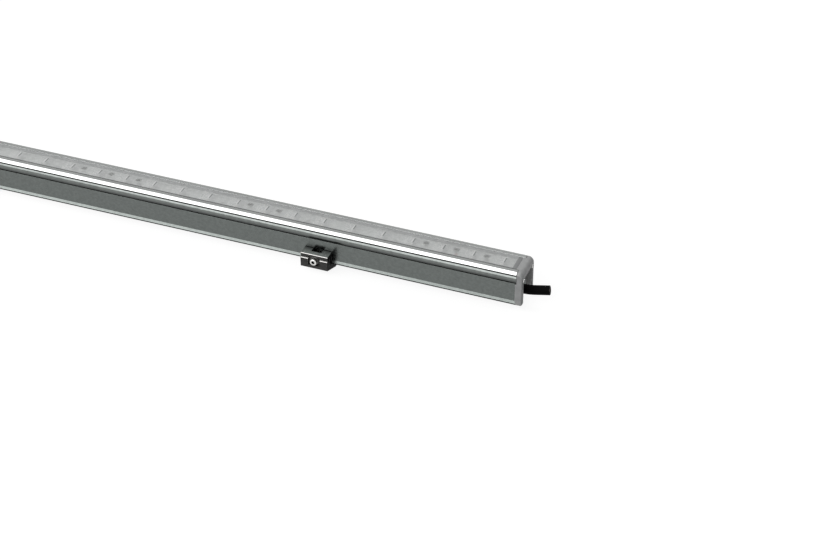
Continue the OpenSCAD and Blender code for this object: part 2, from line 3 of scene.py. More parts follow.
import bmesh
import bpy
import numpy as np
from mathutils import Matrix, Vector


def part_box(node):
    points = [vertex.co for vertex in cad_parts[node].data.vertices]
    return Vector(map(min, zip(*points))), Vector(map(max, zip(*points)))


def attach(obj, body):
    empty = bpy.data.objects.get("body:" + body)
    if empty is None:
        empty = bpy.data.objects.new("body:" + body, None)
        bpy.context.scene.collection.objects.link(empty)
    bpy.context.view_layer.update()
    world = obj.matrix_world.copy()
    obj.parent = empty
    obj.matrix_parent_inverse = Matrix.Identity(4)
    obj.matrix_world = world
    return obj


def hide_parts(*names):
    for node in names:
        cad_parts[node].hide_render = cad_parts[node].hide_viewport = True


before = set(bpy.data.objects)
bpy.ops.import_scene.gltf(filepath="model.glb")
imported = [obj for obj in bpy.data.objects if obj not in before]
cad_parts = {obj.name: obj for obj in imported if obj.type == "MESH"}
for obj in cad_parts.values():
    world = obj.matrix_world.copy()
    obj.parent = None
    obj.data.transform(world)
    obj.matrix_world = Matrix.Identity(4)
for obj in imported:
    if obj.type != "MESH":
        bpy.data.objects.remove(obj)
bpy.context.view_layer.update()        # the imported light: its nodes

mm = 0.001               # the sizes of the pieces, also the three that follow, are in millimetres
guard = 0.03             # how close a guard point lies to the edge that it keeps clean
crispEdge = 0.05         # rounding of an end that looks sharp
toolEdge = 0.02          # the same on a piece that only cuts
scene = bpy.context.scene
scene.view_settings.view_transform = "Standard"
print("frame loaded")

# ---- camera: the photograph's view of the cable end
view = {
    "place": (0.96695, -1.17795, 0.89446),      # metres
    "azimuth": 21.27,
    "elevation": 35.3,
    "lens": 86.75,
    "sensor": 36,
}
camera = bpy.data.objects.new("camera", bpy.data.cameras.new("camera"))
camera.data.lens = view["lens"]
camera.data.sensor_width = view["sensor"]
camera.location = view["place"]
camera.rotation_euler = (math.radians(90 - view["elevation"]), 0, math.radians(view["azimuth"]))
scene.collection.objects.link(camera)
scene.camera = camera


# ---- surfaces
def gridFaces(rows, columns, closeRows=False, closeColumns=True):
    # quads of a grid of points: each one joins a point to its neighbours in the row and in the next row
    row = np.arange(rows if closeRows else rows - 1)[:, None]
    column = np.arange(columns if closeColumns else columns - 1)[None, :]
    nextRow, nextColumn = (row + 1) % rows, (column + 1) % columns
    corners = [row * columns + column, row * columns + nextColumn,
               nextRow * columns + nextColumn, nextRow * columns + column]
    return np.stack(np.broadcast_arrays(*corners), axis=-1).reshape(-1, 4)


def skin(rings, closed=False):
    # surface through rings of equally many points; flat faces close its two ends
    count, size = rings.shape[:2]
    groups = [gridFaces(count, size, closeRows=closed)]
    if not closed:
        groups += [np.arange(size)[None, ::-1], (np.arange(size) + (count - 1) * size)[None]]
    return rings.reshape(-1, 3), groups


def unit(vectors):
    length = np.linalg.norm(vectors, axis=-1, keepdims=True)
    return vectors / np.where(length > 1e-9, length, 1)


def insetOutline(corners, insets):
    # every edge moves inwards by its own inset, and each corner lies where two moved edges meet
    along = unit(np.roll(corners, -1, axis=0) - corners)
    inward = np.stack([-along[:, 1], along[:, 0]], axis=-1)
    level = (inward * corners).sum(axis=1) + insets
    pairs = np.stack([np.roll(inward, 1, axis=0), inward], axis=1)
    levels = np.stack([np.roll(level, 1), level], axis=1)[..., None]
    return np.linalg.solve(pairs, levels)[..., 0]


def roundCorners(corners, radii, steps):
    # each corner becomes an arc that touches both edges at radius / tan(half the corner's angle) from
    # the corner; a guard point just before and after it keeps the flat stretches flat in the shading
    before = unit(np.roll(corners, 1, axis=0) - corners)
    after = unit(np.roll(corners, -1, axis=0) - corners)
    half = np.arccos(np.clip((before * after).sum(axis=1), -1, 1)) / 2
    reach = (radii / np.tan(half))[:, None]
    centre = corners + unit(before + after) * (radii / np.sin(half))[:, None]
    start = corners + before * reach
    way = np.sign(before[:, 1] * after[:, 0] - before[:, 0] * after[:, 1])
    angle = (way * (math.pi - 2 * half))[:, None] * np.linspace(0, 1, steps + 1)
    arm = (start - centre)[:, None]
    turned = np.stack([np.cos(angle) * arm[..., 0] - np.sin(angle) * arm[..., 1],
                       np.sin(angle) * arm[..., 0] + np.cos(angle) * arm[..., 1]], axis=-1)
    points = np.concatenate([(start + before * guard)[:, None], centre[:, None] + turned,
                             (corners + after * (reach + guard))[:, None]], axis=1)
    return points[(radii > 0)[:, None] | (np.arange(steps + 3) == 1)]


def alongX(corners, radii, x0, x1, lowEdge=0.2, highEdge=None, steps=4, spans=1):
    # a section of (y, z) corners carried along X, with rounded ends. Near an end an edge moves inwards by
    # r - sqrt(r * r - d * d), where d is how far the station lies in the last r of the length
    corners = np.array(corners, float)
    radii, lowEdge, highEdge = (np.broadcast_to(np.array(value, float), len(corners))
                                for value in (radii, lowEdge, lowEdge if highEdge is None else highEdge))
    turn = np.sin(np.linspace(0, math.pi / 2, 2 * steps + 1))
    low, high = lowEdge.max(), highEdge.max()
    stations = np.concatenate([x0 + low * (1 - turn[::-1]), [x0 + low + guard],
                               np.linspace(x0 + low, x1 - high, spans + 1)[1:-1],
                               [x1 - high - guard], x1 - high * (1 - turn)])

    def section(x, extra=0.0):
        depthLow = np.clip(x0 + lowEdge - x, 0, lowEdge)
        depthHigh = np.clip(x - x1 + highEdge, 0, highEdge)
        insets = (lowEdge - np.sqrt(lowEdge ** 2 - depthLow ** 2)
                  + highEdge - np.sqrt(highEdge ** 2 - depthHigh ** 2) + extra)
        flat = roundCorners(insetOutline(corners, insets), radii, steps)
        return np.column_stack([np.full(len(flat), x), flat])

    return skin(np.stack([section(x0, guard)] + [section(x) for x in stations] + [section(x1, guard)]))


def rectangle(y0, y1, z0, z1):
    return [(y0, z0), (y1, z0), (y1, z1), (y0, z1)]


def mirrored(half):
    # a half section at positive y, followed by its mirror image in reverse order
    half = np.array(half, float)
    return np.concatenate([half, half[::-1] * [-1, 1]])


def turns(columns):
    return np.arange(columns) * 2 * math.pi / columns


axisFrames = {
    "+x": ((0, 1, 0), (0, 0, 1), (1, 0, 0)),
    "-y": ((1, 0, 0), (0, 0, 1), (0, -1, 0)),
    "+z": ((1, 0, 0), (0, 1, 0), (0, 0, 1)),
}


def turnedShape(rows, origin, axis, columns=48, closed=False):
    # rows are (along, radius) pairs, and the radius may change with the turn as well:
    # point = origin + along * axis + radius * (cos(turn) * side + sin(turn) * up)
    along, radius = (np.array([np.broadcast_to(value, columns) for value in values], float) for values in zip(*rows))
    side, up, ahead = (np.array(v, float) for v in axisFrames[axis])
    turn = turns(columns)
    rings = (np.array(origin, float) + along[..., None] * ahead
             + (radius * np.cos(turn))[..., None] * side + (radius * np.sin(turn))[..., None] * up)
    return skin(rings, closed=closed)


def hexRadius(flats, columns, offset=0.0):
    # distance from the middle of a hexagon to its side: half the width over flats / cos(turn from the flat)
    turn = (turns(columns) - math.radians(offset)) % (math.pi / 3) - math.pi / 6
    return flats / 2 / np.cos(turn)


def crossRadius(length, width, columns):
    # distance from the middle of a plus sign to its outline, the larger of its two bars' distances
    c, s = (np.abs(wave(turns(columns))) + 1e-9 for wave in (np.cos, np.sin))
    return np.maximum(np.minimum(length / c, width / s), np.minimum(length / s, width / c)) / 2


def moved(part, shift=(0, 0, 0), flip=(1, 1, 1)):
    return part[0] * np.array(flip, float) + np.array(shift, float), part[1]


def finishMesh(mesh, sharp=30):
    # merges doubles, turns every face outwards, and shades smooth but for edges over the sharp angle
    weld, sliver = 2e-6, 1e-7          # metres
    work = bmesh.new()
    work.from_mesh(mesh)
    bmesh.ops.remove_doubles(work, verts=work.verts, dist=weld)
    bmesh.ops.dissolve_degenerate(work, edges=work.edges, dist=sliver)
    bmesh.ops.recalc_face_normals(work, faces=work.faces)
    work.to_mesh(mesh)
    work.free()
    mesh.shade_smooth()
    mesh.set_sharp_from_angle(angle=math.radians(sharp))
    mesh.update()


def makeSolid(name, parts, sharp=30):
    # parts are (points, groups of faces) pairs in millimetres, joined in one mesh
    offsets = np.cumsum([0] + [len(points) for points, groups in parts])
    points = np.concatenate([points for points, groups in parts]) * mm
    faces = [face for (_, groups), offset in zip(parts, offsets)
             for group in groups for face in (group + offset).tolist()]
    mesh = bpy.data.meshes.new(name)
    mesh.from_pydata(points.tolist(), [], faces)
    finishMesh(mesh, sharp)
    piece = bpy.data.objects.new(name, mesh)
    scene.collection.objects.link(piece)
    return piece


def combine(piece, parts, operation="DIFFERENCE"):
    # cuts the parts out of the piece, or joins them to it
    for part in parts:
        tool = makeSolid("tool", [part])
        change = piece.modifiers.new("change", "BOOLEAN")
        change.operation, change.solver, change.object = operation, "EXACT", tool
        bpy.context.view_layer.update()
        old, toolMesh = piece.data, tool.data
        made = bpy.data.meshes.new_from_object(piece.evaluated_get(bpy.context.evaluated_depsgraph_get()))
        piece.modifiers.clear()
        piece.data = made
        bpy.data.meshes.remove(old)
        bpy.data.objects.remove(tool)
        bpy.data.meshes.remove(toolMesh)
    finishMesh(piece.data)
    return piece


def boxOf(node):
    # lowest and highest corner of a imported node
    return (np.array(corner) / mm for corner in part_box(node))


def place(piece, names, body, nodes=()):
    # gives a piece its finishes by name and its body, and hides the nodes that it stands for
    piece.data.materials.clear()
    for name in names:
        piece.data.materials.append(finishes[name])
    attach(piece, body)
    if nodes:
        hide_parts(*nodes)


def paintFaces(piece, masks):
    # masks takes the middles and the normals of all faces, each as rows of x, y and z, and gives a list with
    # the faces of the second, third and any further finish; a later one goes over an earlier one
    mesh = piece.data
    rows = []
    for key in ("center", "normal"):
        values = np.empty(len(mesh.polygons) * 3)
        mesh.polygons.foreach_get(key, values)
        rows.append(values.reshape(-1, 3).T)
    index = np.zeros(len(mesh.polygons), np.int32)
    for number, mask in enumerate(masks(rows[0] / mm, rows[1]), start=1):
        index[mask] = number
    mesh.polygons.foreach_set("material_index", index)


# ---- shader groups and materials
def addNode(tree, kind, inputs=None, **options):
    node = tree.nodes.new("ShaderNode" + kind)
    for option, value in options.items():
        setattr(node, option, value)
    for key, value in (inputs or {}).items():
        if isinstance(value, bpy.types.NodeSocket):
            tree.links.new(value, node.inputs[key])
        else:
            node.inputs[key].default_value = value
    return node


def spotIn(tree):
    return addNode(tree, "TexCoord").outputs["Object"]


def upIn(tree):
    # how far the surface faces up, from -1 to 1
    return addNode(tree, "SeparateXYZ", {"Vector": addNode(tree, "NewGeometry").outputs["Normal"]}).outputs["Z"]


def calc(tree, operation, *values, **options):
    return addNode(tree, "Math", dict(enumerate(values)), operation=operation, **options).outputs[0]


def ramp(tree, value, start, end, low=0.0, high=1.0):
    # low up to the start, high from the end on, and a straight line between them
    inputs = {"Value": value, "From Min": start, "From Max": end, "To Min": low, "To Max": high}
    return addNode(tree, "MapRange", inputs).outputs["Result"]


def noiseIn(tree, scale, detail, roughness=0.5, spot=None):
    inputs = {"Vector": spot or spotIn(tree), "Scale": scale, "Detail": detail, "Roughness": roughness}
    return addNode(tree, "TexNoise", inputs).outputs["Fac"]


def mixColor(tree, factor, first, second, blend="MIX"):
    return addNode(tree, "Mix", {0: factor, 6: first, 7: second}, data_type="RGBA", blend_type=blend).outputs[2]


def makeGroup(name, inputs, build):
    # a node group with number sockets; build makes its nodes and gives its outputs by name
    tree = bpy.data.node_groups.new(name, "ShaderNodeTree")
    for key, value in inputs.items():
        tree.interface.new_socket(key, in_out="INPUT", socket_type="NodeSocketFloat").default_value = value
    made = build(tree, tree.nodes.new("NodeGroupInput").outputs)
    for key in made:
        tree.interface.new_socket(key, in_out="OUTPUT", socket_type="NodeSocketFloat")
    result = tree.nodes.new("NodeGroupOutput").inputs
    for key, socket in made.items():
        tree.links.new(socket, result[key])
    return tree


def drawnLines(tree, given):
    # fine lines along X, as a drawing die leaves them: noise that is stretched along the bar
    scale = addNode(tree, "CombineXYZ", {"X": given["Length"], "Y": given["Fineness"], "Z": given["Fineness"]})
    spot = addNode(tree, "VectorMath", {0: spotIn(tree), 1: scale.outputs["Vector"]}, operation="MULTIPLY")
    return {"Lines": noiseIn(tree, scale=1.0, detail=3.0, spot=spot.outputs["Vector"])}


def grainAndPatches(tree, given):
    # fine even grain, and soft patches from 0 to 1
    patches = noiseIn(tree, given["Patch Scale"], detail=4.0)
    return {"Grain": noiseIn(tree, given["Grain Scale"], detail=2.0),
            "Patches": ramp(tree, patches, start=0.32, end=0.68)}


def edgeWearAndGlint(tree, given):
    # bright where a rounded copy of the surface turns away from the real one, broken up by noise: worn edges, and
    # painted glints on the edges of the clear optics
    rounded = addNode(tree, "Bevel", {"Radius": given["Radius"]}, samples=4).outputs["Normal"]
    flat = addNode(tree, "NewGeometry").outputs["Normal"]
    same = addNode(tree, "VectorMath", {0: rounded, 1: flat}, operation="DOT_PRODUCT").outputs["Value"]
    worn = calc(tree, "MULTIPLY", calc(tree, "SUBTRACT", 1.0, same), given["Amount"])
    broken = ramp(tree, noiseIn(tree, scale=400.0, detail=5.0), start=0.4, end=0.65)
    return {"Wear": calc(tree, "MULTIPLY", worn, broken, use_clamp=True)}


def dustFilm(tree, given):
    # a thin film of dust on what faces up, in loose patches
    loose = ramp(tree, noiseIn(tree, given["Scale"], detail=6.0, roughness=0.7), start=0.35, end=0.75)
    film = calc(tree, "MULTIPLY", ramp(tree, upIn(tree), start=0.3, end=1.0), loose)
    return {"Dust": calc(tree, "MULTIPLY", film, given["Amount"], use_clamp=True)}


def openness(tree, given):
    # 1 in the open, and down to 0 in grooves and corners that are closed in within the reach: the mask of the painted
    # shade there
    free = addNode(tree, "AmbientOcclusion", {"Distance": given["Reach"]}, samples=6).outputs["AO"]
    return {"Clear": ramp(tree, free, given["Closed"], given["Clear"])}


def turnedDown(tree, given):
    # 0 up to the start, by default upright, and 1 where the surface has turned well down: the mask of the painted
    # shade on faces that turn down
    return {"Under": ramp(tree, calc(tree, "MULTIPLY", upIn(tree), -1.0), given["Start"], given["Turn"])}


groups = {name: makeGroup(name, inputs, build) for name, inputs, build in (
    ("drawn lines", {"Fineness": 1500.0, "Length": 3.0}, drawnLines),
    ("grain", {"Grain Scale": 2500.0, "Patch Scale": 25.0}, grainAndPatches),
    ("edge wear", {"Radius": 0.0004, "Amount": 4.0}, edgeWearAndGlint),
    ("dust", {"Amount": 0.2, "Scale": 60.0}, dustFilm),
    ("cavity", {"Reach": 0.0012, "Closed": 0.25, "Clear": 0.85}, openness),
    ("underside", {"Start": 0.0, "Turn": 0.35}, turnedDown))}

finishDefaults = {
    "cavity": 0.0,                # share of the colour that is lost to painted shade in grooves and corners, 0 for no such shading
    "cavityReach": 0.0012,        # metres
    "cavityRange": (0.25, 0.85),  # how open a spot is where that shading is full, and where it ends
    "under": 0.0,                 # share of the colour that is lost to painted shade on faces that turn down
    "underStart": 0.0,            # how far a face has turned down where that shading starts
    "patchShade": 0.9,            # how dark the patches are against the colour
    "wornColor": None,            # colour of worn edges, and of painted edge glints where it is white
    # strength of the worn edges and of the painted edge glints
    "wear": 3.0,
    "wearRadius": 0.0004,         # metres
    "dust": 0.0,
    "dustColor": (0.45, 0.44, 0.42),
    "grainScale": 2500.0,
    "patchScale": 25.0,
    "lineFineness": 0.0,          # lines per metre across the bar, 0 for none
    "textureRange": (0.3, 0.7),   # values of grain or lines that get the lowest and the highest roughness
    "grainBump": 0.3,
    "lineBump": 0.0,
    "bumpDistance": 0.00003,      # metres
    "metallic": 0.0,
    "specular": 0.5,
    "coat": 0.0,
    "coatRoughness": 0.1,
    "alpha": 1.0,
}
plainInputs = {"Metallic": "metallic", "Specular IOR Level": "specular", "Coat Weight": "coat",
               "Coat Roughness": "coatRoughness", "Alpha": "alpha"}


def shaded(color, share=1.0):
    return tuple(value * share for value in color) + (1,)


def makeFinish(name, color, roughness, **given):
    # colour: patches, worn edges and painted edge glints, dust, and painted shade on faces that turn down and in
    # grooves, one over the other; lines or grain give the roughness, from its lowest to its highest value, and both
    # the bumps
    s = {**finishDefaults, **given}
    material = bpy.data.materials.new(name)
    material.use_nodes = True
    tree = material.node_tree
    shader = tree.nodes["Principled BSDF"]

    def group(key, inputs):
        return addNode(tree, "Group", inputs, node_tree=groups[key]).outputs

    grain = group("grain", {"Grain Scale": s["grainScale"], "Patch Scale": s["patchScale"]})
    paint = mixColor(tree, grain["Patches"], shaded(color), shaded(color, s["patchShade"]))
    # worn edges, and painted glints on the edges of the clear optics
    if s["wornColor"]:
        wear = group("edge wear", {"Radius": s["wearRadius"], "Amount": s["wear"]})
        paint = mixColor(tree, wear["Wear"], paint, shaded(s["wornColor"]))
    if s["dust"]:
        paint = mixColor(tree, group("dust", {"Amount": s["dust"]})["Dust"], paint, shaded(s["dustColor"]))
    # painted shade on faces that turn down
    if s["under"]:
        under = group("underside", {"Start": s["underStart"]})
        paint = mixColor(tree, under["Under"], paint, shaded(color, 1 - s["under"]))
    # painted shade in grooves and corners that close in
    if s["cavity"]:
        closed, clear = s["cavityRange"]
        cavity = group("cavity", {"Reach": s["cavityReach"], "Closed": closed, "Clear": clear})
        paint = mixColor(tree, cavity["Clear"], shaded(color, 1 - s["cavity"]), paint)
    tree.links.new(paint, shader.inputs["Base Color"])
    texture = grain["Grain"]
    height = calc(tree, "MULTIPLY", texture, s["grainBump"])
    if s["lineFineness"]:
        texture = group("drawn lines", {"Fineness": s["lineFineness"]})["Lines"]
        height = calc(tree, "MULTIPLY_ADD", texture, s["lineBump"], height)
    tree.links.new(ramp(tree, texture, *s["textureRange"], *roughness), shader.inputs["Roughness"])
    bump = addNode(tree, "Bump", {"Height": height, "Distance": s["bumpDistance"], "Strength": 1.0})
    tree.links.new(bump.outputs["Normal"], shader.inputs["Normal"])
    for socket, key in plainInputs.items():
        shader.inputs[socket].default_value = s[key]
    return material


# metal with the fine lines of a drawing die
drawn = {"metallic": 1.0, "lineFineness": 2200.0, "lineBump": 0.4}
drawnClamp = {**drawn, "lineFineness": 1800.0}
drawnRim = {**drawn, "lineFineness": 2500.0}
finishTable = [               # name, colour, lowest and highest roughness, other settings
    ("barAnodised", (0.148, 0.161, 0.155), (0.2, 0.3),
     {**drawn, "lineBump": 0.5, "grainBump": 0.2, "patchShade": 0.82, "patchScale": 420.0, "dust": 0.05,
      "cavity": 0.92, "under": 0.6}),
    # the beads, a little lighter than the bar's side: painted light
    ("beadAnodised", (0.17, 0.182, 0.176), (0.17, 0.26),
     {**drawn, "grainBump": 0.2, "cavity": 0.7, "under": 0.6, "patchShade": 0.78, "patchScale": 300.0}),
    # painted shade on the bar's outer edges and in its grooves
    ("edgeAnodised", (0.022, 0.024, 0.023), (0.3, 0.4), drawn),
    # polished bevels, made lighter than the rest: a polished finish and in part a painted highlight
    ("bevelPolished", (0.5, 0.51, 0.505), (0.1, 0.16),
     {**drawn, "lineFineness": 1500.0, "lineBump": 0.2, "grainBump": 0.05, "cavity": 0.8}),
    # the rims' tops, lighter than the bar's sides: painted light
    ("rimAnodised", (0.3, 0.31, 0.305), (0.22, 0.32), {**drawnRim, "grainBump": 0.2, "cavity": 0.6}),
    ("rimShade", (0.12, 0.127, 0.124), (0.25, 0.35), drawnRim),
    # the LED chamber, lighter than the bar: painted light
    ("chamberBright", (0.75, 0.76, 0.75), (0.4, 0.5), {"metallic": 1.0}),
    ("sealRubber", (0.02, 0.021, 0.021), (0.5, 0.65), {"specular": 0.15}),
    ("gasketGrey", (0.13, 0.135, 0.135), (0.5, 0.65), {"specular": 0.2}),
    # the back seal, a lighter copy of the seal rubber: painted light
    ("sealGrey", (0.3, 0.31, 0.31), (0.5, 0.65), {"specular": 0.3}),
    ("heatPadSoft", (0.45, 0.5, 0.54), (0.7, 0.85), {"grainScale": 900.0}),
    # white edge glints on the clear optics: painted highlight
    ("opticClear", (0.82, 0.84, 0.84), (0.05, 0.12),
     {"alpha": 0.55, "coat": 0.6, "grainBump": 0.05, "wornColor": (1.0, 1.0, 1.0), "wear": 6.0}),
    ("opticShade", (0.02, 0.02, 0.02), (0.4, 0.5), {"specular": 0.1}),
    ("linkWhite", (0.75, 0.75, 0.72), (0.4, 0.55), {}),
    ("chipEpoxy", (0.03, 0.03, 0.03), (0.45, 0.6), {"grainBump": 0.6}),
    ("potSilicone", (0.06, 0.063, 0.063), (0.45, 0.6), {}),
    # painted shade on faces that turn down, and a little on upright faces too
    ("capSatin", (0.352, 0.357, 0.357), (0.38, 0.5),
     {"metallic": 0.05, "grainBump": 0.7, "grainScale": 1800.0, "wornColor": (0.6, 0.61, 0.6), "wear": 2.0,
      "dust": 0.08, "cavity": 0.85, "under": 0.9, "underStart": -0.055, "specular": 0.2, "patchShade": 0.85,
      "patchScale": 260.0}),
    # the legs' inner sides, painted light against their shade
    ("capInner", (0.85, 0.86, 0.85), (0.4, 0.5), {"specular": 0.2, "patchShade": 0.8, "patchScale": 400.0}),
    ("screwSteel", (0.7, 0.7, 0.69), (0.2, 0.34), {"metallic": 1.0, "cavity": 0.97, "cavityReach": 0.0006}),
    ("boltSteel", (0.66, 0.66, 0.64), (0.16, 0.28),
     {"metallic": 1.0, "grainBump": 0.2, "cavity": 0.97, "cavityReach": 0.0015}),
    ("nylonBlack", (0.02, 0.02, 0.021), (0.42, 0.56), {"grainBump": 0.8, "grainScale": 1500.0, "specular": 0.3}),
    ("cableRubber", (0.0025, 0.0025, 0.0026), (0.6, 0.72), {"specular": 0.03, "grainBump": 0.5, "dust": 0.01}),
    ("coreJacket", (0.02, 0.018, 0.017), (0.4, 0.5), {"specular": 0.2}),
    ("wireJacket", (0.35, 0.03, 0.02), (0.25, 0.35), {}),
    ("clampBlack", (0.043, 0.0425, 0.0415), (0.26, 0.38),
     {**drawnClamp, "metallic": 0.25, "patchShade": 0.55, "patchScale": 500.0, "lineBump": 0.5, "grainBump": 1.0,
      "grainScale": 1300.0, "specular": 0.2, "wornColor": (0.34, 0.33, 0.31), "wear": 2.2, "dust": 0.03,
      "cavity": 0.8}),
    # lighter metal on the slopes that face up to the front: painted highlight
    ("clampEdge", (0.36, 0.355, 0.345), (0.18, 0.3), drawnClamp),
    # the jaw's flat top, a light mirror of the bar's wall that darkens towards the wall: painted reflection and
    # painted shade
    ("clampTop", (0.38, 0.385, 0.38), (0.14, 0.24),
     {**drawnClamp, "cavity": 0.9, "cavityReach": 0.008, "cavityRange": (0.55, 1.0), "patchShade": 0.55,
      "patchScale": 600.0}),
    # the clamp's end faces painted near black: painted shade
    ("clampSawn", (0.004, 0.004, 0.004), (0.5, 0.65), {"specular": 0.05, "grainBump": 1.0}),
    # the washer painted dark steel, into the pocket's shade: painted shade
    ("washerDark", (0.13, 0.128, 0.124), (0.3, 0.4), {"metallic": 1.0, "cavity": 0.8}),
    # painted shade in screw holes, the cross recesses and the bolt's socket
    ("socketDark", (0.008, 0.008, 0.008), (0.5, 0.6), {"specular": 0.1}),
    ("nutSteel", (0.75, 0.75, 0.73), (0.25, 0.4), {"metallic": 0.7, "grainBump": 0.2}),
    ("copper", (0.22, 0.11, 0.06), (0.35, 0.5), {"metallic": 1.0, "grainScale": 3500.0, "grainBump": 1.0}),
]
finishes = {name: makeFinish(name, color, roughness, **given) for name, color, roughness, given in finishTable}


def openFinish(*settings, **given):
    # a finish with its node tree, its shader's inputs and the colour it has so far
    material = makeFinish(*settings, **given)
    inputs = material.node_tree.nodes["Principled BSDF"].inputs
    return material, material.node_tree, inputs, inputs["Base Color"].links[0].from_socket


def makeBoardFinish():
    # white solder mask: copper tracks show through it as faint lines along the board
    material, tree, inputs, paint = openFinish("boardWhite", (0.66, 0.68, 0.66), (0.32, 0.44), patchShade=0.95)
    tracks = addNode(tree, "TexBrick", {
        "Vector": spotIn(tree), "Color1": (1, 1, 1, 1), "Color2": (0.93, 0.95, 0.93, 1), "Mortar": (0.8, 0.8, 0.8, 1),
        "Scale": 1.0, "Mortar Size": 0.0002, "Brick Width": 0.0246, "Row Height": 0.0016})
    tree.links.new(mixColor(tree, 1.0, paint, tracks.outputs["Color"], "MULTIPLY"), inputs["Base Color"])
    return material


def makeLedFinish(domeLow):
    # white package below the dome's foot, yellow phosphor above it
    blur, phosphor = 0.05, (0.8, 0.62, 0.12, 1)
    material, tree, inputs, paint = openFinish("ledPackage", (0.75, 0.74, 0.7), (0.25, 0.4))
    height = addNode(tree, "SeparateXYZ", {"Vector": spotIn(tree)}).outputs["Z"]
    above = ramp(tree, height, domeLow * mm, (domeLow + blur) * mm)
    tree.links.new(mixColor(tree, above, paint, phosphor), inputs["Base Color"])
    return material


lensMarks = {                     # lengths are in metres
    "pitch": 0.0246,
    "haze": 0.4,
    "edge": 0.0003,               # width of the marks' soft edges
    "bondHaze": 0.9,
    "bondStart": 0.5897,
    "bondColor": (0.19, 0.195, 0.195, 1),
    "markColor": (0.16, 0.17, 0.17, 1),
    "markWidth": 0.0004,
    "markLength": 0.00285,
    "markShift": 0.0089,
    "lightShift": 0.001,
    "sideEdge": 0.00045,
    "ledShift": 0.0129,
    "ledHalf": 0.004,
    "speckScale": 1150.0,
    "speckRange": (0.47, 0.64),
    "speckShare": (0.35, 0.9),    # strength of the painted glints between the LEDs and over them
    "white": (1, 1, 1, 1),
    "boardCells": 12,
    "chipCells": ((3.5, 1.0), (10.0, 1.5)),     # middle and half width of the cells with a chip, in cells
    "chipHalf": (0.0009, 0.0008),
    "chipSoft": 0.002,
    "chipShift": -0.001,
    "chipColor": (0.1, 0.1, 0.1, 1),
    "chipHaze": 0.1,
}


def makeLensFinish(halfWidth):
    # hazed glass with painted glints as bright specks over the LEDs, a painted shade mark and a painted highlight mark
    # at the end of each optic, painted shade along the front edge, and ends that are bonded to the grey potting. The
    # distance from the nearest of a row of marks is a triangle wave of x, as long as the pitch
    s = lensMarks
    material, tree, inputs, paint = openFinish(
        "lensClear", (0.76, 0.78, 0.775), (0.12, 0.24), grainBump=1.2, grainScale=900.0, patchShade=0.86,
        patchScale=330.0, coat=0.3, coatRoughness=0.05, dust=0.1)
    spot = addNode(tree, "SeparateXYZ", {"Vector": spotIn(tree)}).outputs

    def solve(operation, *values):
        return calc(tree, operation, *values)

    def within(value, reach, soft=s["edge"]):
        return ramp(tree, value, reach + soft, reach)

    def repeated(shift):
        return solve("PINGPONG", solve("ADD", spot["X"], shift), s["pitch"] / 2)

    x, y = solve("ABSOLUTE", spot["X"]), solve("ABSOLUTE", spot["Y"])
    across = within(y, s["markLength"])
    # painted shade (dark) and painted highlight (light) marks at the end of each optic
    dark, light = (solve("MULTIPLY", across, within(repeated(s["markShift"] + shift), s["markWidth"]))
                   for shift in (0.0, s["lightShift"]))
    bond = ramp(tree, x, s["bondStart"] - s["edge"], s["bondStart"])
    # painted shade along the lens's front edge
    dark = solve("MAXIMUM", dark, within(spot["Y"], s["sideEdge"] - halfWidth))
    # the chips between some of the LEDs show as soft dark spots: a round spot a cell, kept in the cells
    # of a board that have one
    board = solve("WRAP", spot["X"], s["boardCells"] * s["pitch"], 0.0)
    inCells = solve("MAXIMUM", *(solve("LESS_THAN", solve("ABSOLUTE", solve("SUBTRACT", board, middle * s["pitch"])),
                                       half * s["pitch"]) for middle, half in s["chipCells"]))
    dots = solve("MULTIPLY", *(within(value, half, s["chipSoft"])
                                for value, half in zip((repeated(s["chipShift"]), y), s["chipHalf"])))
    chips = solve("MULTIPLY", inCells, dots)
    # painted glints: bright specks, stronger over the LEDs
    noise = noiseIn(tree, s["speckScale"], detail=1.0)
    strong = ramp(tree, within(repeated(s["ledShift"]), s["ledHalf"]), 0.0, 1.0, *s["speckShare"])
    specks = ramp(tree, noise, *s["speckRange"], 0.0, strong)
    for mask, color in ((specks, s["white"]), (light, s["white"]), (chips, s["chipColor"]), (bond, s["bondColor"]),
                        (dark, s["markColor"])):
        paint = mixColor(tree, mask, paint, color)
    tree.links.new(paint, inputs["Base Color"])
    covered = solve("MAXIMUM", solve("MAXIMUM", bond, solve("MULTIPLY", chips, s["chipHaze"])), dark)
    tree.links.new(ramp(tree, covered, 0.0, 1.0, s["haze"], s["bondHaze"]), inputs["Alpha"])
    return material


print("materials made")

# ---- cable: the short cut stub that leaves the gland
cable = {
    "mouth": (570, 0, 15.0),
    "diameter": 7.5,
    "length": 47.5,
    "route": [(0, 0, 0), (5, 0, 0), (10, 0, -0.1), (15, 0, -0.4), (20, 0, -0.7), (25, 0, -0.9),
              (30, 0.1, -0.8), (34, 0.4, -0.4), (38, 0.8, 0.2), (42, 1.3, 0.8), (45, 1.7, 1.2), (47, 2, 1.5)],
    "rings": 72,
    "columns": 40,
    "jacket": 1.35,               # thickness of the jacket at the cut end
    "recess": 0.5,                # how far the filling lies behind the cut
    "coreLength": 1.5,
    "coreOffset": 1.05,
    "coreColumns": 24,
    "cores": {                    # diameter, how far it lies behind the cut, bulge of its end, finish
        "cableCores": (1.8, 0.3, 0.0, "coreJacket"),
        "cableStrands": (0.9, 0.25, 0.05, "copper"),
    },
}


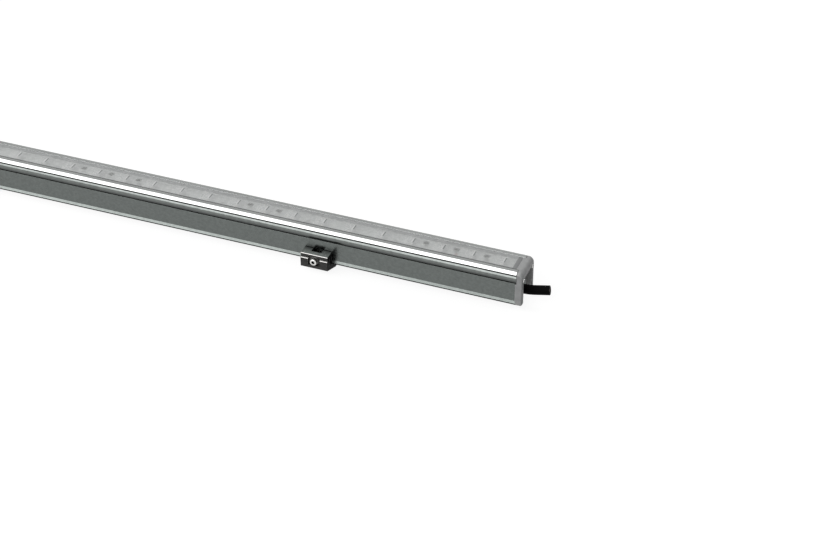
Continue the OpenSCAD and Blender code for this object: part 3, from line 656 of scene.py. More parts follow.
def smoothRoute(points, count):
    # Catmull-Rom curve through the points: each stretch is a cubic of its two ends and their neighbours
    points = np.array(points, float)
    t = np.linspace(0, len(points) - 1, count)
    i = np.minimum(t.astype(int), len(points) - 2)
    f = (t - i)[:, None]
    a, b, c, d = (points[np.clip(i + k, 0, len(points) - 1)] for k in (-1, 0, 1, 2))
    return 0.5 * (2 * b + (c - a) * f + (2 * a - 5 * b + 4 * c - d) * f ** 2 + (3 * b - a - 3 * c + d) * f ** 3)


def routeFrames(path):
    # direction of travel, level side and upright of every point of a path
    ahead = unit(np.gradient(path, axis=0))
    side = unit(np.cross([0, 0, 1], ahead))
    return ahead, side, np.cross(ahead, side)


def around(radius, turn, side, up):
    # radius * (cos(turn) * side + sin(turn) * up), for every row and every turn
    return radius[:, None, None] * (np.cos(turn)[:, None] * side[..., None, :]
                                    + np.sin(turn)[:, None] * up[..., None, :])


def makeCable():
    # rings around the path. At the cut end they go on over a small rounding, across the jacket's ring, and
    # down to the filling that lies a little behind; the rim's rows are radius and distance behind the cut
    path = smoothRoute(cable["route"], cable["rings"]) + cable["mouth"]
    ahead, side, up = routeFrames(path)
    r, inner, recess = cable["diameter"] / 2, cable["diameter"] / 2 - cable["jacket"], cable["recess"]
    rim = np.array([(r, 0.2), (r - 0.08, 0.05), (r - 0.2, 0), (r - 0.25, 0), (inner + 0.05, 0), (inner, 0.05),
                    (inner - 0.02, recess), (0, recess)])
    centre = np.concatenate([path[:1], path[:-1], path[-1] - rim[:, 1:] * ahead[-1]])
    radius = np.concatenate([[0], np.full(len(path) - 1, r), rim[:, 0]])
    side, up = (np.concatenate([v[:1], v[:-1], np.repeat(v[-1:], len(rim), axis=0)]) for v in (side, up))
    turn = np.linspace(0, 2 * math.pi, cable["columns"] + 1)
    rings = centre[:, None] + around(radius, turn, side, up)
    faces = gridFaces(len(centre), len(turn), closeColumns=False)
    mesh = bpy.data.meshes.new("cable")
    mesh.from_pydata((rings.reshape(-1, 3) * mm).tolist(), [], faces.tolist())
    along = np.concatenate([[0], np.cumsum(np.linalg.norm(np.diff(centre, axis=0), axis=1))]) * mm
    layout = np.stack(np.meshgrid(along, turn * r * mm, indexing="ij"), axis=-1).reshape(-1, 2)
    mesh.uv_layers.new(name="cableMap").data.foreach_set("uv", layout[faces.ravel()].ravel().astype(np.float32))
    finishMesh(mesh)
    piece = bpy.data.objects.new("cableJacket", mesh)
    scene.collection.objects.link(piece)
    return piece, path, (path[-1], ahead[-1], side[-1], up[-1])


def makeCores(end, width, back, bulge):
    # two round cores behind the cut: each is a short turned rod with a rounded rim
    point, ahead, side, up = end
    length = cable["coreLength"]
    rows = np.array([(-length, 0), (-length, width), (-0.08, width), (-0.02, width - 0.06), (bulge, width * 0.6),
                     (bulge, 0)])
    rod = rows[:, 0, None, None] * ahead + around(rows[:, 1] / 2, turns(cable["coreColumns"]), side, up)
    return [skin(point + way * cable["coreOffset"] * side - back * ahead + rod) for way in (-1, 1)]


cord, cordPath, cordEnd = makeCable()
place(cord, ["cableRubber"], "bar", ["power_cord"])
cores = []
for name, (width, back, bulge, finish) in cable["cores"].items():
    cores.append(makeSolid(name, makeCores(cordEnd, width, back, bulge)))
    place(cores[-1], [finish], "bar")
print("cable made")

# ---- housing: the extruded bar
barLow, barHigh = boxOf("housing")
bar = {
    "floor": barLow[2],           # height of the bar's bottom over the mounting plane
    "halfLength": barHigh[0],
    "halfWidth": barHigh[1],
    "height": barHigh[2] - barLow[2],
    "bevel": 1.85,
    "wall": 1.9,
    "recess": 1.5,
    "webLow": 19.1,
    "webTop": 20.9,
    "lipHeight": 2.5,
    "lipEdge": 1.1,
    "beadHeight": 5.5,
    "beadBulge": 1.0,
    "beadSteps": 20,
    "beadTop": 25.1,
    "beadEdge": 0.05,             # radius at the bead's two ends
    "grooveDepth": 0.6,
    "lowGroove": 1.4,             # height of the groove under the bead
    "highGroove": 1.5,            # height of the groove over it
    "highGrooveOut": 0.2,         # how far its floor stands out from the wall
    "ledge": 26.2,
    "chamber": 7.4,
    "pocket": 8.6,
    "bevelUp": (0.35, 0.9),       # how far up a bevel's faces point
    "shadeUp": (0.6, 0.98),       # the same for the shaded side of the far rim
    "shadeWidth": 0.4,
    "sideUp": 0.3,                # the most that a side's faces point up
}
bar["wallY"] = bar["halfWidth"] - bar["recess"]
bar["channelY"] = bar["wallY"] - bar["wall"]
bar["beadLow"] = bar["beadTop"] - bar["beadHeight"]


def barSection():
    # the right half from the channel's roof, down inside the wall and up its outer face, as (y, z, radius);
    # the bead is an arc of radius (half height squared + bulge squared) / (2 * bulge)
    b = bar
    w, top, wall, groove = b["halfWidth"], b["height"], b["wallY"], b["wallY"] - b["grooveDepth"]
    half, bulge, shallow = b["beadHeight"] / 2, b["beadBulge"], b["wallY"] + b["highGrooveOut"]
    r = (half ** 2 + bulge ** 2) / (2 * bulge)
    turn = np.linspace(-1, 1, b["beadSteps"] + 1) * math.asin(half / r)
    bead = np.column_stack([w - r + r * np.cos(turn), b["beadLow"] + half + r * np.sin(turn), 0 * turn])
    bead[[0, -1], 2] = b["beadEdge"]
    low, high = b["beadLow"] - b["lowGroove"], b["beadTop"] + b["highGroove"]
    below = [(b["channelY"], b["webLow"], 0.5), (b["channelY"], 0, 0.2), (w, 0, 0.2), (w, b["lipEdge"], 0.2),
             (wall, b["lipHeight"], 0.3), (wall, low, 0.12), (groove, low, 0.08), (groove, b["beadLow"], 0.08)]
    above = [(shallow, b["beadTop"], 0.05), (shallow, high, 0.08), (w, high, 0.1), (w, top - b["bevel"], 0.12),
             (w - b["bevel"], top, 0.14), (b["pocket"], top, 0.15), (b["pocket"], b["ledge"], 0.1),
             (b["chamber"], b["ledge"], 0.15), (b["chamber"], b["webTop"], 0.3)]
    table = np.vstack([below, bead, above])
    return mirrored(table[:, :2] + [0, b["floor"]]), np.concatenate([table[:, 2], table[::-1, 2]])


def barFaces(at, facing):
    # polished bevels with a painted highlight, top rims painted lighter, the far rim's shaded side, the LED chamber
    # painted lighter, beads painted a little lighter, and last painted shade on the edges and in the grooves; the
    # small numbers keep each bound a little clear of the edge that it stands for
    b, side, y, z, up = bar, at[1], np.abs(at[1]), at[2], facing[2]
    bevelFoot = b["floor"] + b["height"] - b["bevel"] - 0.05
    beadFrom, beadTo = b["floor"] + b["beadLow"] - 0.02, b["floor"] + b["beadTop"] + 0.02
    edge, groove, top = b["halfWidth"] - 0.1, b["wallY"] - b["grooveDepth"] - 0.1, z > bevelFoot
    return [
        top & (up > b["bevelUp"][0]) & (up < b["bevelUp"][1]),
        top & (up >= b["bevelUp"][1]),
        top & (up > b["shadeUp"][0]) & (up < b["shadeUp"][1]) & (side > b["halfWidth"] - b["bevel"] - b["shadeWidth"]),
        (z > b["floor"] + b["webTop"] - 0.1) & (z < bevelFoot + 1) & (y < b["pocket"] + 0.05),
        (z > beadFrom) & (z < beadTo) & (y > b["wallY"]),
        (y > edge) & (up < b["sideUp"]) & ((z < beadFrom) | (z > beadTo))
        | (y > groove) & (z > beadFrom - b["lowGroove"]) & (z < beadFrom)
        | (y > groove) & (y < edge) & (z > beadTo - 0.04) & (z < beadTo + b["highGroove"]),
    ]


housing = makeSolid("housingProfile", [alongX(*barSection(), -bar["halfLength"], bar["halfLength"], crispEdge,
                                              spans=12)])
place(housing, ["barAnodised", "bevelPolished", "rimAnodised", "rimShade", "chamberBright", "beadAnodised",
                "edgeAnodised"], "bar", ["housing"])
paintFaces(housing, barFaces)
print("housing made")

# ---- lens and its seals
lens = {
    "radii": [0.1, 0.1, 0.3, 0.3],
    "sealWidth": 0.7,
    "sealHeight": 2.7,
    "sealRadii": [0.05, 0.05, 0.33, 0.33],      # the seal's top is nearly half round
}
lensLow, lensHigh = boxOf("lens_cover")
finishes["lensClear"] = makeLensFinish(lensHigh[1] * mm)
lensCover = makeSolid("lensPane", [alongX(rectangle(lensLow[1], lensHigh[1], lensLow[2], lensHigh[2]), lens["radii"],
                                          lensLow[0], lensHigh[0], spans=12)])
place(lensCover, ["lensClear"], "bar", ["lens_cover"])

sealOut, sealTop = lensHigh[1] + lens["sealWidth"], lensLow[2] + lens["sealHeight"]
seals = makeSolid("lensSeals", [alongX(rectangle(y0, y1, lensLow[2], sealTop), lens["sealRadii"], lensLow[0],
                                       lensHigh[0], crispEdge, spans=12)
                                for y0, y1 in ((-sealOut, -lensHigh[1]), (lensHigh[1], sealOut))])
place(seals, ["sealRubber", "sealGrey"], "bar", ["lens_seal"])
# the back seal gets the lighter copy of the rubber: painted light
paintFaces(seals, lambda at, facing: [at[1] > 0])
print("lens made")

# ---- optics: one clear block over each LED
optic = {
    "perBoard": 12,
    "length": 8.0,
    "edge": 1.0,
    "corner": 0.8,
    "step": 0.4,
    "pebblePitch": 1.6,
    "pebbleHeight": 0.07,
    "shadeFrom": 0.8,             # how far a face has to turn to +X to be in the shade
}


def opticShape(x, low, high):
    # height over the board = edge + crown * (1 - (x / half length) squared) + pebbles, a product of two
    # cosines. The grid's border drops to the board and then closes at one point under the block
    o = optic
    halfLength, halfWidth, corner = o["length"] / 2, high[1], o["corner"]
    u, v = (np.pad(np.linspace(-1, 1, int(size / o["step"]) + 1), 2, "edge") for size in (o["length"], 2 * halfWidth))
    px, py = np.meshgrid(u * halfLength, v * halfWidth, indexing="ij")
    crown = high[2] - low[2] - o["edge"] - o["pebbleHeight"]
    wave = 2 * math.pi / o["pebblePitch"]
    pz = o["edge"] + crown * (1 - (px / halfLength) ** 2) + o["pebbleHeight"] * np.cos(wave * px) * np.cos(wave * py)
    over = np.stack([np.abs(px) - halfLength + corner, np.abs(py) - halfWidth + corner]).clip(0)
    pull = over * (1 - corner / np.maximum(np.hypot(*over), corner))
    px, py = px - np.sign(px) * pull[0], py - np.sign(py) * pull[1]
    row, column = (np.minimum(np.arange(n), np.arange(n)[::-1]) for n in px.shape)
    ring = np.minimum(row[:, None], column[None, :])
    pz[ring <= 1] = 0
    px[ring == 0] = py[ring == 0] = 0
    points = np.stack([px + x, py, pz + low[2]], axis=-1).reshape(-1, 3)
    return points, [gridFaces(*ring.shape, closeColumns=False)]


for number in range(1, 5):
    low, high = boxOf(f"optics_{number}")
    places = np.linspace(low[0] + optic["length"] / 2, high[0] - optic["length"] / 2, optic["perBoard"])
    piece = makeSolid(f"opticRow_{number}", [opticShape(x, low, high) for x in places])
    place(piece, ["opticClear", "opticShade"], "bar", [f"optics_{number}"])
    paintFaces(piece, lambda at, facing: [facing[0] > optic["shadeFrom"]])
print("optics made")

# ---- end caps with their screws
cap = {
    "legStart": 594.8,
    "plateStart": 595.3,
    "end": 600.0,
    "topRound": 3.6,
    "sideRound": 1.4,
    "underRound": 4.6,
    "innerEdge": 0.3,
    "lap": 0.8,
    "lapGap": 0.1,
    "topLap": 2.1,                # how far the cap laps over the lens
    "topLapY": 8.4,
    "topLapGap": 0.03,
    "lapInset": 0.03,             # how far a side lap stays behind the bar's side
    "topInset": 0.02,             # how far the top lap stays under the bar's top
    "screwY": 10.6,
    "screwZ": 21.4,
    "headDiameter": 3.4,
    "headHeight": 1.3,
    "dome": (0.35, 0.3, 0.2),     # depth of its foot under the head's top, its height, its inset
    "domeSteps": 8,
    "headFlat": 1.46,             # radius where the dome meets the head's flat middle
    "proud": 0.3,
    "headGap": 0.65,
    "shank": 2.0,
    "holeGap": 0.2,
    "holeMouth": 0.15,            # half height of the bevel at the screw hole's mouth
    "screwLength": 13.0,
    "screwColumns": 96,
    "crossLength": 2.8,
    "crossWidth": 1.0,
    "crossDepth": 0.7,
    "crossTaper": (1.03, 0.97, 0.75),           # its width at the mouth, just below it and at its floor
    "sideFacing": 0.9,            # how far a leg's inner faces point along Y
}
screwHeight = bar["floor"] + cap["screwZ"]


def makeCap(flip):
    # a plate on two legs. Its top turns in over a large rounding towards the end face, its sides over a
    # smaller one; the laps are joined on, and the gasket's slot and the screw holes are cut
    b, c = bar, cap
    w, top, foot, start, plate, end = b["halfWidth"], b["height"], b["floor"], c["legStart"], c["plateStart"], c["end"]
    outline = mirrored([(b["channelY"], b["webLow"]), (b["channelY"], 0), (w, 0), (w, top - b["bevel"]),
                        (w - b["bevel"], top)]) + [0, foot]
    inner, side, over, under = c["innerEdge"], c["sideRound"], c["topRound"], c["underRound"]
    edges = [inner, side, side, over, over, over, side, side, inner, under]
    radii = [0.4, 0.15, 0.3, 0.9, 0.9, 0.9, 0.9, 0.3, 0.15, 0.4]
    piece = makeSolid("cap", [alongX(outline, radii, start, end, crispEdge, edges, steps=8)])

    gap, lapY, lapLow = c["lapGap"], c["topLapY"], lensHigh[2] + c["topLapGap"]
    low, high = foot + b["lipHeight"] + gap, foot + b["beadLow"] - b["lowGroove"] - gap
    lapIn, lapOut, lapTop = b["wallY"] + gap, w - c["lapInset"], foot + top - c["topInset"]
    laps = [alongX(rectangle(y0, y1, low, high), 0.2, start - c["lap"], start + 0.5, 0.2, crispEdge)
            for y0, y1 in ((lapIn, lapOut), (-lapOut, -lapIn))]
    laps.append(alongX(rectangle(-lapY, lapY, lapLow, lapTop), 0.0, plate - c["topLap"], plate + 0.6, 0.1, toolEdge))
    combine(piece, laps, "UNION")

    webLow, above = foot + b["webLow"], foot + top + 1
    slot = alongX([(-w - 1, webLow), (w + 1, webLow), (w + 1, above), (lapY, above), (lapY, lapLow),
                   (-lapY, lapLow), (-lapY, above), (-w - 1, above)], 0.0, start - 1, plate, toolEdge)
    head, hole, mouth = c["headDiameter"] / 2 + c["headGap"], c["shank"] / 2 + c["holeGap"], c["holeMouth"]
    seat = end - (c["headHeight"] - c["proud"])
    rows = [(start - 1, hole), (seat, hole), (seat, head), (end - mouth, head), (end + mouth, head + 2 * mouth),
            (end + 1, head + 2 * mouth)]
    combine(piece, [slot] + [turnedShape(rows, (0, way * c["screwY"], screwHeight), "+x") for way in (-1, 1)])
    if flip < 0:
        piece.data.transform(((-1, 0, 0, 0), (0, 1, 0, 0), (0, 0, 1, 0), (0, 0, 0, 1)))
        finishMesh(piece.data)
    return piece


def capScrew(way, flip):
    # pan head: rows of radii from the shank's end to the dome, and then down into the cross recess
    c, proud, low = cap, cap["proud"], cap["proud"] - cap["headHeight"]
    half, shank, tip, deep = c["headDiameter"] / 2, c["shank"] / 2, -c["screwLength"], proud - c["crossDepth"]
    (foot, rise, inset), turn = c["dome"], np.linspace(0, math.pi / 2, c["domeSteps"])
    cross, (mouth, neck, floor) = crossRadius(c["crossLength"], c["crossWidth"], c["screwColumns"]), c["crossTaper"]
    rows = [(tip, shank - 0.3), (tip + 0.3, shank), (low, shank), (low, half - 0.1), (low + 0.1, half),
            *zip(proud - foot + rise * np.sin(turn), half - inset + inset * np.cos(turn)), (proud, c["headFlat"]),
            (proud, cross * mouth), (proud - 0.04, cross * neck), (deep, cross * floor), (deep - 0.1, 0)]
    return moved(turnedShape(rows, (c["end"], way * c["screwY"], screwHeight), "+x", c["screwColumns"]),
                 flip=(flip, 1, 1))


def fromScrew(at):
    # distance from the axis of the nearer screw
    return np.hypot(np.abs(at[1]) - cap["screwY"], at[2] - screwHeight)


def capFaces(at, facing):
    # the legs' inner sides, painted light, and painted shade in the screw holes
    inward = (np.abs(at[1]) < bar["channelY"] + 0.1) & (np.abs(facing[1]) > cap["sideFacing"])
    return [inward & (at[2] < bar["floor"] + bar["webLow"]),
            fromScrew(at) < cap["headDiameter"] / 2 + cap["headGap"] + 0.05]


def screwFaces(at, facing):
    # painted shade in the cross recess
    return [(fromScrew(at) < cap["crossLength"] / 2 + 0.02) & (np.abs(at[0]) < cap["end"] + cap["proud"] - 0.01)]


for side, flip in (("left", -1), ("right", 1)):
    capPiece = makeCap(flip)
    capPiece.name = "endCap_" + side
    place(capPiece, ["capSatin", "capInner", "socketDark"], "bar", ["end_cap_" + side])
    paintFaces(capPiece, capFaces)
    screws = makeSolid("capScrews_" + side, [capScrew(way, flip) for way in (-1, 1)])
    place(screws, ["screwSteel", "socketDark"], "bar", ["cap_screws_" + side])
    paintFaces(screws, screwFaces)
print("end caps made")

# ---- gland nut, seen through the doorway of the cap
nut = {
    "start": 557.0,
    "end": 570.0,
    "flats": 13.0,
    "threadBore": 11.1,
    "mouthBore": 7.9,
    "face": 2.0,                  # height of the dome
    "faceFlat": 0.3,
    "faceInset": 1.9,
    "axisZ": 15.0,
    "columns": 96,
    "domeSteps": 9,
}


def glandNut():
    # a hexagon that turns into a dome at the mouth: the radius is the smaller of the hexagon's and the
    # dome's; the bore is the way back
    n, start, end, shoulder = nut, nut["start"], nut["end"], nut["end"] - nut["face"]
    hexagon = hexRadius(n["flats"], n["columns"], 30)
    full, mouth, thread = hexagon.max(), n["mouthBore"] / 2, n["threadBore"] / 2
    dome = np.linspace(0, math.pi / 2, n["domeSteps"])
    domeAlong = shoulder + (n["face"] - n["faceFlat"]) * np.sin(dome)
    domeRadius = full - n["faceInset"] * (1 - np.cos(dome))
    rows = [(start, np.minimum(hexagon, full - 0.6)), (start + 0.5, hexagon), (shoulder - 0.6, hexagon),
            *zip(domeAlong, np.minimum(hexagon, domeRadius[:, None])), (end, mouth + 0.9), (end, mouth + 0.3),
            (end - 0.4, mouth), (shoulder, mouth), (shoulder, thread), (start, thread)]
    return turnedShape(rows, (0, 0, n["axisZ"]), "+x", n["columns"], closed=True)


place(makeSolid("glandNut", [glandNut()]), ["nylonBlack"], "bar", ["gland_nut"])
print("gland nut made")

# ---- clamps: base, jaw, washer, bolt and captive nut
clamp = {
    "end": 433.0,
    "length": 22.6,
    "padWidth": 13.0,
    "floor": 3.6,
    "slideGap": 0.2,
    "noseThickness": 1.5,
    "travel": 1.5,
    "lugGap": 0.4,
    "lug": 2.4,
    "jawGap": 0.1,
    "jaw": 3.9,
    "jawTop": 10.2,
    "jawDrop": 1.9,
    "bridge": 3.3,
    "step": (3.7, 0.8),           # height and depth of the step along the jaw's top
    "jawBevel": 0.4,
    "rear": 4.1,
    "hook": 9.6,
    "notchWidth": 8.6,
    "notchOver": 1.1,
    "notchRound": 0.3,
    "pocket": (10.0, 8.0, 1.8),   # width, height, depth
    "pocketRound": 0.6,
    "boltZ": 4.6,
    "boltDiameter": 3.0,
    "boltHole": 3.4,
    "boltColumns": 36,
    "wallHole": 4.5,
    "wallSink": 9.0,
    "nutFlats": 5.5,
    "nutThickness": 1.9,
    "nutSeat": 0.6,
    "nutColumns": 72,
    "edge": 0.22,
    "slopeUp": (0.4, 0.92),       # how far up the faces of a slope with painted highlight point
    "slopeFront": -0.3,           # and how far to the front
    "endFacing": 0.9,             # how far a sawn end's faces point along X
}
noseIn = bar["wallY"] + clamp["slideGap"]
noseOut = noseIn + clamp["noseThickness"]
lugIn = noseOut + clamp["travel"] + clamp["lugGap"]
lugOut = lugIn + clamp["lug"]
plateIn = lugOut + clamp["jawGap"]
plateOut = plateIn + clamp["jaw"]
bridgeLow = clamp["jawTop"] - clamp["bridge"]
noseLift = 1.5 * clamp["slideGap"]
boltHeight = bar["floor"] + clamp["boltZ"]
halfClamp = clamp["length"] / 2


def noseZ(y):
    # height at y of a nose on the bar's lip: the lip's bevel rises evenly from the bar's side to its wall,
    # and the nose lies a lift over it
    share = (bar["halfWidth"] - y) / bar["recess"]
    return bar["lipEdge"] + share * (bar["lipHeight"] - bar["lipEdge"]) + noseLift


def underZ(y):
    # height of the clamp's underside at y: it rises evenly from the pad's edge to the jaw's front
    share = (y - clamp["padWidth"] / 2) / (plateOut - clamp["padWidth"] / 2)
    return share * (bar["floor"] - clamp["jawDrop"]) - bar["floor"]


def baseSection():
    # pad, rear hook, ledges under the lips, hollow floor and front lug, as (y, z, radius)
    pad, hook, rear, gap = clamp["padWidth"] / 2, clamp["hook"], noseIn + clamp["rear"], clamp["slideGap"]
    ledge, lip, rail = bar["channelY"] + gap, bar["halfWidth"] + gap, -0.05
    floor, lugTop = clamp["floor"] - bar["floor"], bridgeLow - clamp["lugGap"]
    return [(-pad, -bar["floor"], 0.6), (pad, -bar["floor"], 0.6), (rear, underZ(rear), 0.8), (rear, hook - 1, 0.3),
            (rear - 1, hook, 0.3), (noseIn, hook, 0.3), (noseIn, noseZ(noseIn), 0.2), (lip, noseZ(lip), 0.15),
            (lip, rail, 0.2), (ledge, rail, 0.15), (ledge, floor + 1, 0.3), (ledge - 1, floor, 0.3),
            (1 - ledge, floor, 0.3), (-ledge, floor + 1, 0.3), (-ledge, rail, 0.15), (-lugIn, rail, 0.2),
            (-lugIn, lugTop, 0.2), (-lugOut, lugTop, 0.2), (-lugOut, underZ(lugOut), 0.3)]


def jawSection():
    # plate with a stepped front, bridge over the lug, and nose behind the lip, as (y, z, radius)
    top, bevel, out = clamp["jawTop"], clamp["jawBevel"], plateOut
    stepZ, stepY = top - clamp["step"][0], out - clamp["step"][1]
    return [(-out, underZ(out) + bevel, 0.3), (-out, stepZ - bevel, 0.25), (bevel - out, stepZ, 0.2),
            (-stepY, stepZ, 0.15), (-stepY, top - bevel, 0.25), (bevel - stepY, top, 0.25), (-noseIn, top, 0.3),
            (-noseIn, noseZ(noseIn), 0.2), (-noseOut, noseZ(noseOut), 0.2), (-noseOut, bridgeLow, 0.4),
            (-plateIn, bridgeLow, 0.3), (-plateIn, underZ(plateIn), 0.2),
            (bevel - out, underZ(out - bevel), 0.25)][::-1]


def clampSolid(name, section, x):
    table = np.array(section)
    part = alongX(table[:, :2] + [0, bar["floor"]], table[:, 2], -halfClamp, halfClamp, clamp["edge"])
    return makeSolid(name, [moved(part, (x, 0, 0))])


def crossRod(x, y0, y1, radius):
    # a rod on the bolt's axis, from y0 to y1 in front of the bar's middle
    return turnedShape([(y0, radius), (y1, radius)], (x, 0, boltHeight), "-y", clamp["boltColumns"])


def makeClampBase(x):
    c, hole, wide = clamp, clamp["wallHole"] / 2, clamp["wallSink"] / 2
    over = 0.02               # the sink's cone ends a little over the floor
    wall = turnedShape([(-1, hole), (c["floor"] + hole - wide, hole), (c["floor"] + over, wide + over),
                        (c["floor"] + 0.6, wide + over)], (x, 0, 0), "+z")
    bolt = crossRod(x, lugIn - 0.5, lugOut + 0.5, c["boltHole"] / 2)
    seat = crossRod(x, lugIn - 0.5, lugIn + c["nutSeat"], hexRadius(c["nutFlats"] + 0.2, c["boltColumns"], 30))
    return combine(clampSolid("clampBase", baseSection(), x), [wall, bolt, seat])


def makeClampJaw(x):
    c, foot, half = clamp, bar["floor"], clamp["notchWidth"] / 2
    width, height, depth = c["pocket"]
    notch = alongX(rectangle(-lugIn - c["notchOver"], 0, foot - c["jawDrop"], foot + c["jawTop"] + 1),
                   c["notchRound"], x - half, x + half, toolEdge)
    # the pocket's rounded edges run along Y, so its section is drawn as (y, z) and then turned
    points, groups = alongX(rectangle(x - width / 2, x + width / 2, boltHeight - height / 2, boltHeight + height / 2),
                            c["pocketRound"], plateOut - depth, plateOut + 1, toolEdge)
    pocket = np.column_stack([points[:, 1], -points[:, 0], points[:, 2]]), groups
    bolt = crossRod(x, plateIn - 0.5, plateOut + 0.5, c["boltHole"] / 2)
    return combine(clampSolid("clampJaw", jawSection(), x), [notch, pocket, bolt])


bolt = {
    "washer": (3.5, 1.6, 0.5, 0.08),            # radius, radius of its bore, thickness, broken edge
    "headDiameter": 5.5,
    "headHeight": 3.0,
    "headEdge": 0.3,
    "knurls": 30,
    "knurlDepth": 0.09,
    "socket": 2.53,
    "socketDepth": 1.65,
    "socketTaper": (1.12, 1.02, 0.99),          # its width at the mouth, just below it and at its floor
    "socketReach": 0.56,          # share of its width over flats that gets painted shade
    "pitch": 0.5,
    "threadDepth": 0.14,
    "tip": 0.5,
}
washerIn = plateOut - clamp["pocket"][2]
washerOut = washerIn + bolt["washer"][2]
nutOut = lugIn + clamp["nutSeat"]
nutIn = nutOut - clamp["nutThickness"]


def washerShape(x):
    # a flat ring with its four edges broken
    outer, inner, t, e = bolt["washer"]
    rows = [(0, inner + e), (0, outer - e), (e, outer), (t - e, outer), (t, outer - e), (t, inner + e),
            (t - e, inner), (e, inner)]
    return turnedShape(rows, (x, -washerIn, boltHeight), "-y", closed=True)


def boltShape(x):
    # rows from the tip to the head, and down into the hexagon socket. The shank's radius is less by a
    # triangle wave of (distance / pitch - turn), which winds the thread, and the head's by a wave of the turn
    b, columns, start, top = bolt, bolt["knurls"] * 4, nutIn - bolt["tip"], washerOut + bolt["headHeight"]
    turn, full, head, edge = turns(columns), clamp["boltDiameter"] / 2, b["headDiameter"] / 2, b["headEdge"]
    along = np.arange(start + 0.3, washerOut, b["pitch"] / 6)
    wave = (along[:, None] / b["pitch"] - turn / (2 * math.pi)) % 1
    shank = full - b["threadDepth"] * 2 * np.abs(wave - 0.5)
    knurl = head - b["knurlDepth"] * (0.5 + 0.5 * np.cos(b["knurls"] * turn))
    socket, deep, (mouth, neck, floor) = hexRadius(b["socket"], columns), top - b["socketDepth"], b["socketTaper"]
    rows = [(start, 0), (start, full - 0.35), *zip(along, shank),
            (washerOut, full), (washerOut, head - 0.15), (washerOut + 0.1, head), (washerOut + 0.25, head),
            (washerOut + 0.35, knurl), (top - edge - 0.25, knurl), (top - edge - 0.1, head - 0.02),
            (top - edge, head - 0.05), (top - 0.08, head - edge), (top, head - edge - 0.15),
            (top, np.maximum(socket * mouth, socket.max() + 0.02)), (top - 0.05, socket * neck),
            (deep, socket * floor), (deep - 0.4, 0)]
    return turnedShape(rows, (x, 0, boltHeight), "-y", columns)


def nutShape(x):
    # a hexagon whose corners are cut by a cone at both faces, and a bore
    c, flat, bore, t = clamp, clamp["nutFlats"] / 2, clamp["boltDiameter"] / 2 + 0.05, clamp["nutThickness"]
    hexagon = hexRadius(c["nutFlats"], c["nutColumns"], 30)
    cut = np.minimum(hexagon, flat + 0.42)
    rows = [(0, bore + 0.15), (0, flat - 0.05), (0.25, cut), (0.3, hexagon), (t - 0.3, hexagon), (t - 0.25, cut),
            (t, flat - 0.05), (t, bore + 0.15), (t - 0.15, bore), (0.15, bore)]
    return turnedShape(rows, (x, -nutIn, boltHeight), "-y", c["nutColumns"], closed=True)


def blackFaces(at, facing):
    # painted highlight on faces that slope up to the front, painted shade on the ends, and painted reflection on the
    # flat top
    low, high = clamp["slopeUp"]
    return [(facing[2] > low) & (facing[2] < high) & (facing[1] < clamp["slopeFront"]),
            (np.abs(facing[0]) > clamp["endFacing"]) & (np.abs(np.abs(at[0]) - clamp["end"]) > halfClamp - 0.1),
            (facing[2] > high) & (at[2] > bar["floor"] + clamp["jawTop"] - 0.05)]


def socketFaces(at, facing):
    # painted shade in the hexagon socket
    return [(np.hypot(np.abs(at[0]) - clamp["end"], at[2] - boltHeight) < bolt["socket"] * bolt["socketReach"])
            & (at[1] < -washerOut) & (at[1] > 0.03 - washerOut - bolt["headHeight"])]


blackSet = ["clampBlack", "clampEdge", "clampSawn", "clampTop"]
for side, x in (("left", -clamp["end"]), ("right", clamp["end"])):
    for piece, name, finish, body, slotName, node, masks in (
            (makeClampBase(x), "clampBase_", blackSet, "clamp_", "black_anodised", "clamp_base_", blackFaces),
            (makeClampJaw(x), "clampJaw_", blackSet, "jaw_", "black_anodised", "clamp_jaw_", blackFaces),
            (makeSolid("washer", [washerShape(x)]), "clampWasher_", ["washerDark"], "jaw_", "stainless",
             "clamp_washer_", None),
            (makeSolid("bolt", [boltShape(x)], 40), "clampBolt_", ["boltSteel", "socketDark"], "bolt_", "stainless",
             "clamp_bolt_", socketFaces),
            (makeSolid("nut", [nutShape(x)]), "clampNut_", ["nutSteel"], "clamp_", "stainless", "clamp_nut_", None)):
        piece.name = name + side
        place(piece, finish, body + side, [node + side])
        if masks:
            paintFaces(piece, masks)
print("clamps made")

# ---- finishes of the nodes that stay as they are
domeHeight = 1.15                 # height of the phosphor dome on an LED's package
finishes["boardWhite"] = makeBoardFinish()
finishes["ledPackage"] = makeLedFinish(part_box("leds_1")[1][2] / mm - domeHeight)
nodeFinishes = {
    "heat_pad": "heatPadSoft",
    "led_board": "boardWhite",
    "leds": "ledPackage",
    "board_links": "linkWhite",
    "driver_chips": "chipEpoxy",
    "chamber_seal": "potSilicone",
    "cap_gasket": "gasketGrey",
    "gland_body": "nylonBlack",
    "gland_screws": "screwSteel",
    "gland_seal": "sealRubber",
    "inner_cable": "cableRubber",
    "lead_wires": "wireJacket",
}
for name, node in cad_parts.items():
    for start, finish in nodeFinishes.items():
        if name.startswith(start):
            node.data.materials.clear()
            node.data.materials.append(finishes[finish])
print("nodes finished")

# ---- floor, backdrop and lamps
light = {
    "world": 0.3,                 # what the world gives to the object
    "floorColor": 0.2,
    "floorGlow": 0.88,            # what camera and mirror rays get from the floor besides its lit colour
    "floorFade": (0.8, 1.7),      # how far out the glow begins to rise to white, and where it is white
    "floorSize": 14.0,
    "boxes": {
        "front": {"azimuth": -27, "elevation": 33, "distance": 2.6, "size": (3.4, 2.6), "radiance": 2.7},
        "back": {"azimuth": 150, "elevation": 62, "distance": 3.0, "size": (1.6, 1.2), "radiance": 3.0},
    },
    "aim": (0.3, 0, 0.02),
}


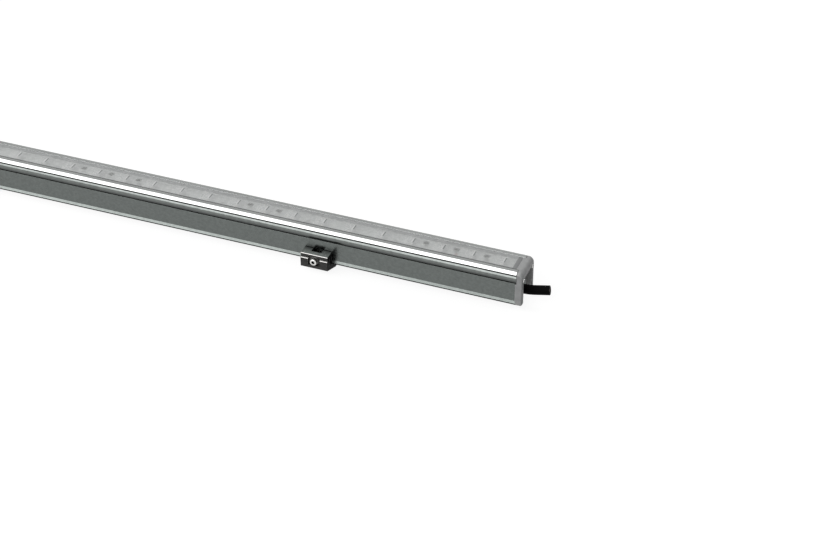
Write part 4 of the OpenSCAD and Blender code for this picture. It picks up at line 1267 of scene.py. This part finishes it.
def seenRays(tree):
    # 1 for camera, mirror and glass rays, 0 for the rays that light the object
    path = addNode(tree, "LightPath").outputs
    seen = calc(tree, "MAXIMUM", path["Is Camera Ray"], path["Is Glossy Ray"])
    return calc(tree, "MAXIMUM", seen, path["Is Transmission Ray"])


world = bpy.data.worlds.new("world")
world.use_nodes = True
scene.world = world
background = world.node_tree.nodes["Background"]
world.node_tree.links.new(ramp(world.node_tree, seenRays(world.node_tree), 0.0, 1.0, light["world"], 1.0),
                          background.inputs["Strength"])
background.inputs["Color"].default_value = (1, 1, 1, 1)

floorHalf = light["floorSize"] / 2
floorMesh = bpy.data.meshes.new("floor")
floorMesh.from_pydata([(x, y, 0) for x, y in rectangle(-floorHalf, floorHalf, -floorHalf, floorHalf)], [],
                      [(0, 1, 2, 3)])
floor = bpy.data.objects.new("floor", floorMesh)
scene.collection.objects.link(floor)
floorMaterial = bpy.data.materials.new("floorPale")
floorMaterial.use_nodes = True
floorTree = floorMaterial.node_tree
floorInputs = floorTree.nodes["Principled BSDF"].inputs
for socket, value in (("Base Color", (light["floorColor"],) * 3 + (1,)), ("Roughness", 1.0),
                      ("Specular IOR Level", 0.0), ("Emission Color", (1, 1, 1, 1))):
    floorInputs[socket].default_value = value
away = addNode(floorTree, "VectorMath", {0: spotIn(floorTree)}, operation="LENGTH").outputs["Value"]
level = ramp(floorTree, away, *light["floorFade"], light["floorGlow"], 1.0)
floorTree.links.new(ramp(floorTree, seenRays(floorTree), 0.0, 1.0, 0.0, level), floorInputs["Emission Strength"])
floorMesh.materials.append(floorMaterial)

for name, box in light["boxes"].items():
    lamp = bpy.data.lights.new(name, "AREA")
    lamp.shape, (lamp.size, lamp.size_y) = "RECTANGLE", box["size"]
    lamp.energy = box["radiance"] * math.pi * box["size"][0] * box["size"][1]
    azimuth, elevation = math.radians(box["azimuth"]), math.radians(box["elevation"])
    towards = (math.sin(azimuth) * math.cos(elevation), -math.cos(azimuth) * math.cos(elevation), math.sin(elevation))
    lampObject = bpy.data.objects.new(name, lamp)
    lampObject.location = [start + box["distance"] * step for start, step in zip(light["aim"], towards)]
    lampObject.rotation_euler = (math.pi / 2 - elevation, 0, azimuth)
    lampObject.visible_camera = False
    scene.collection.objects.link(lampObject)
print("lights made")
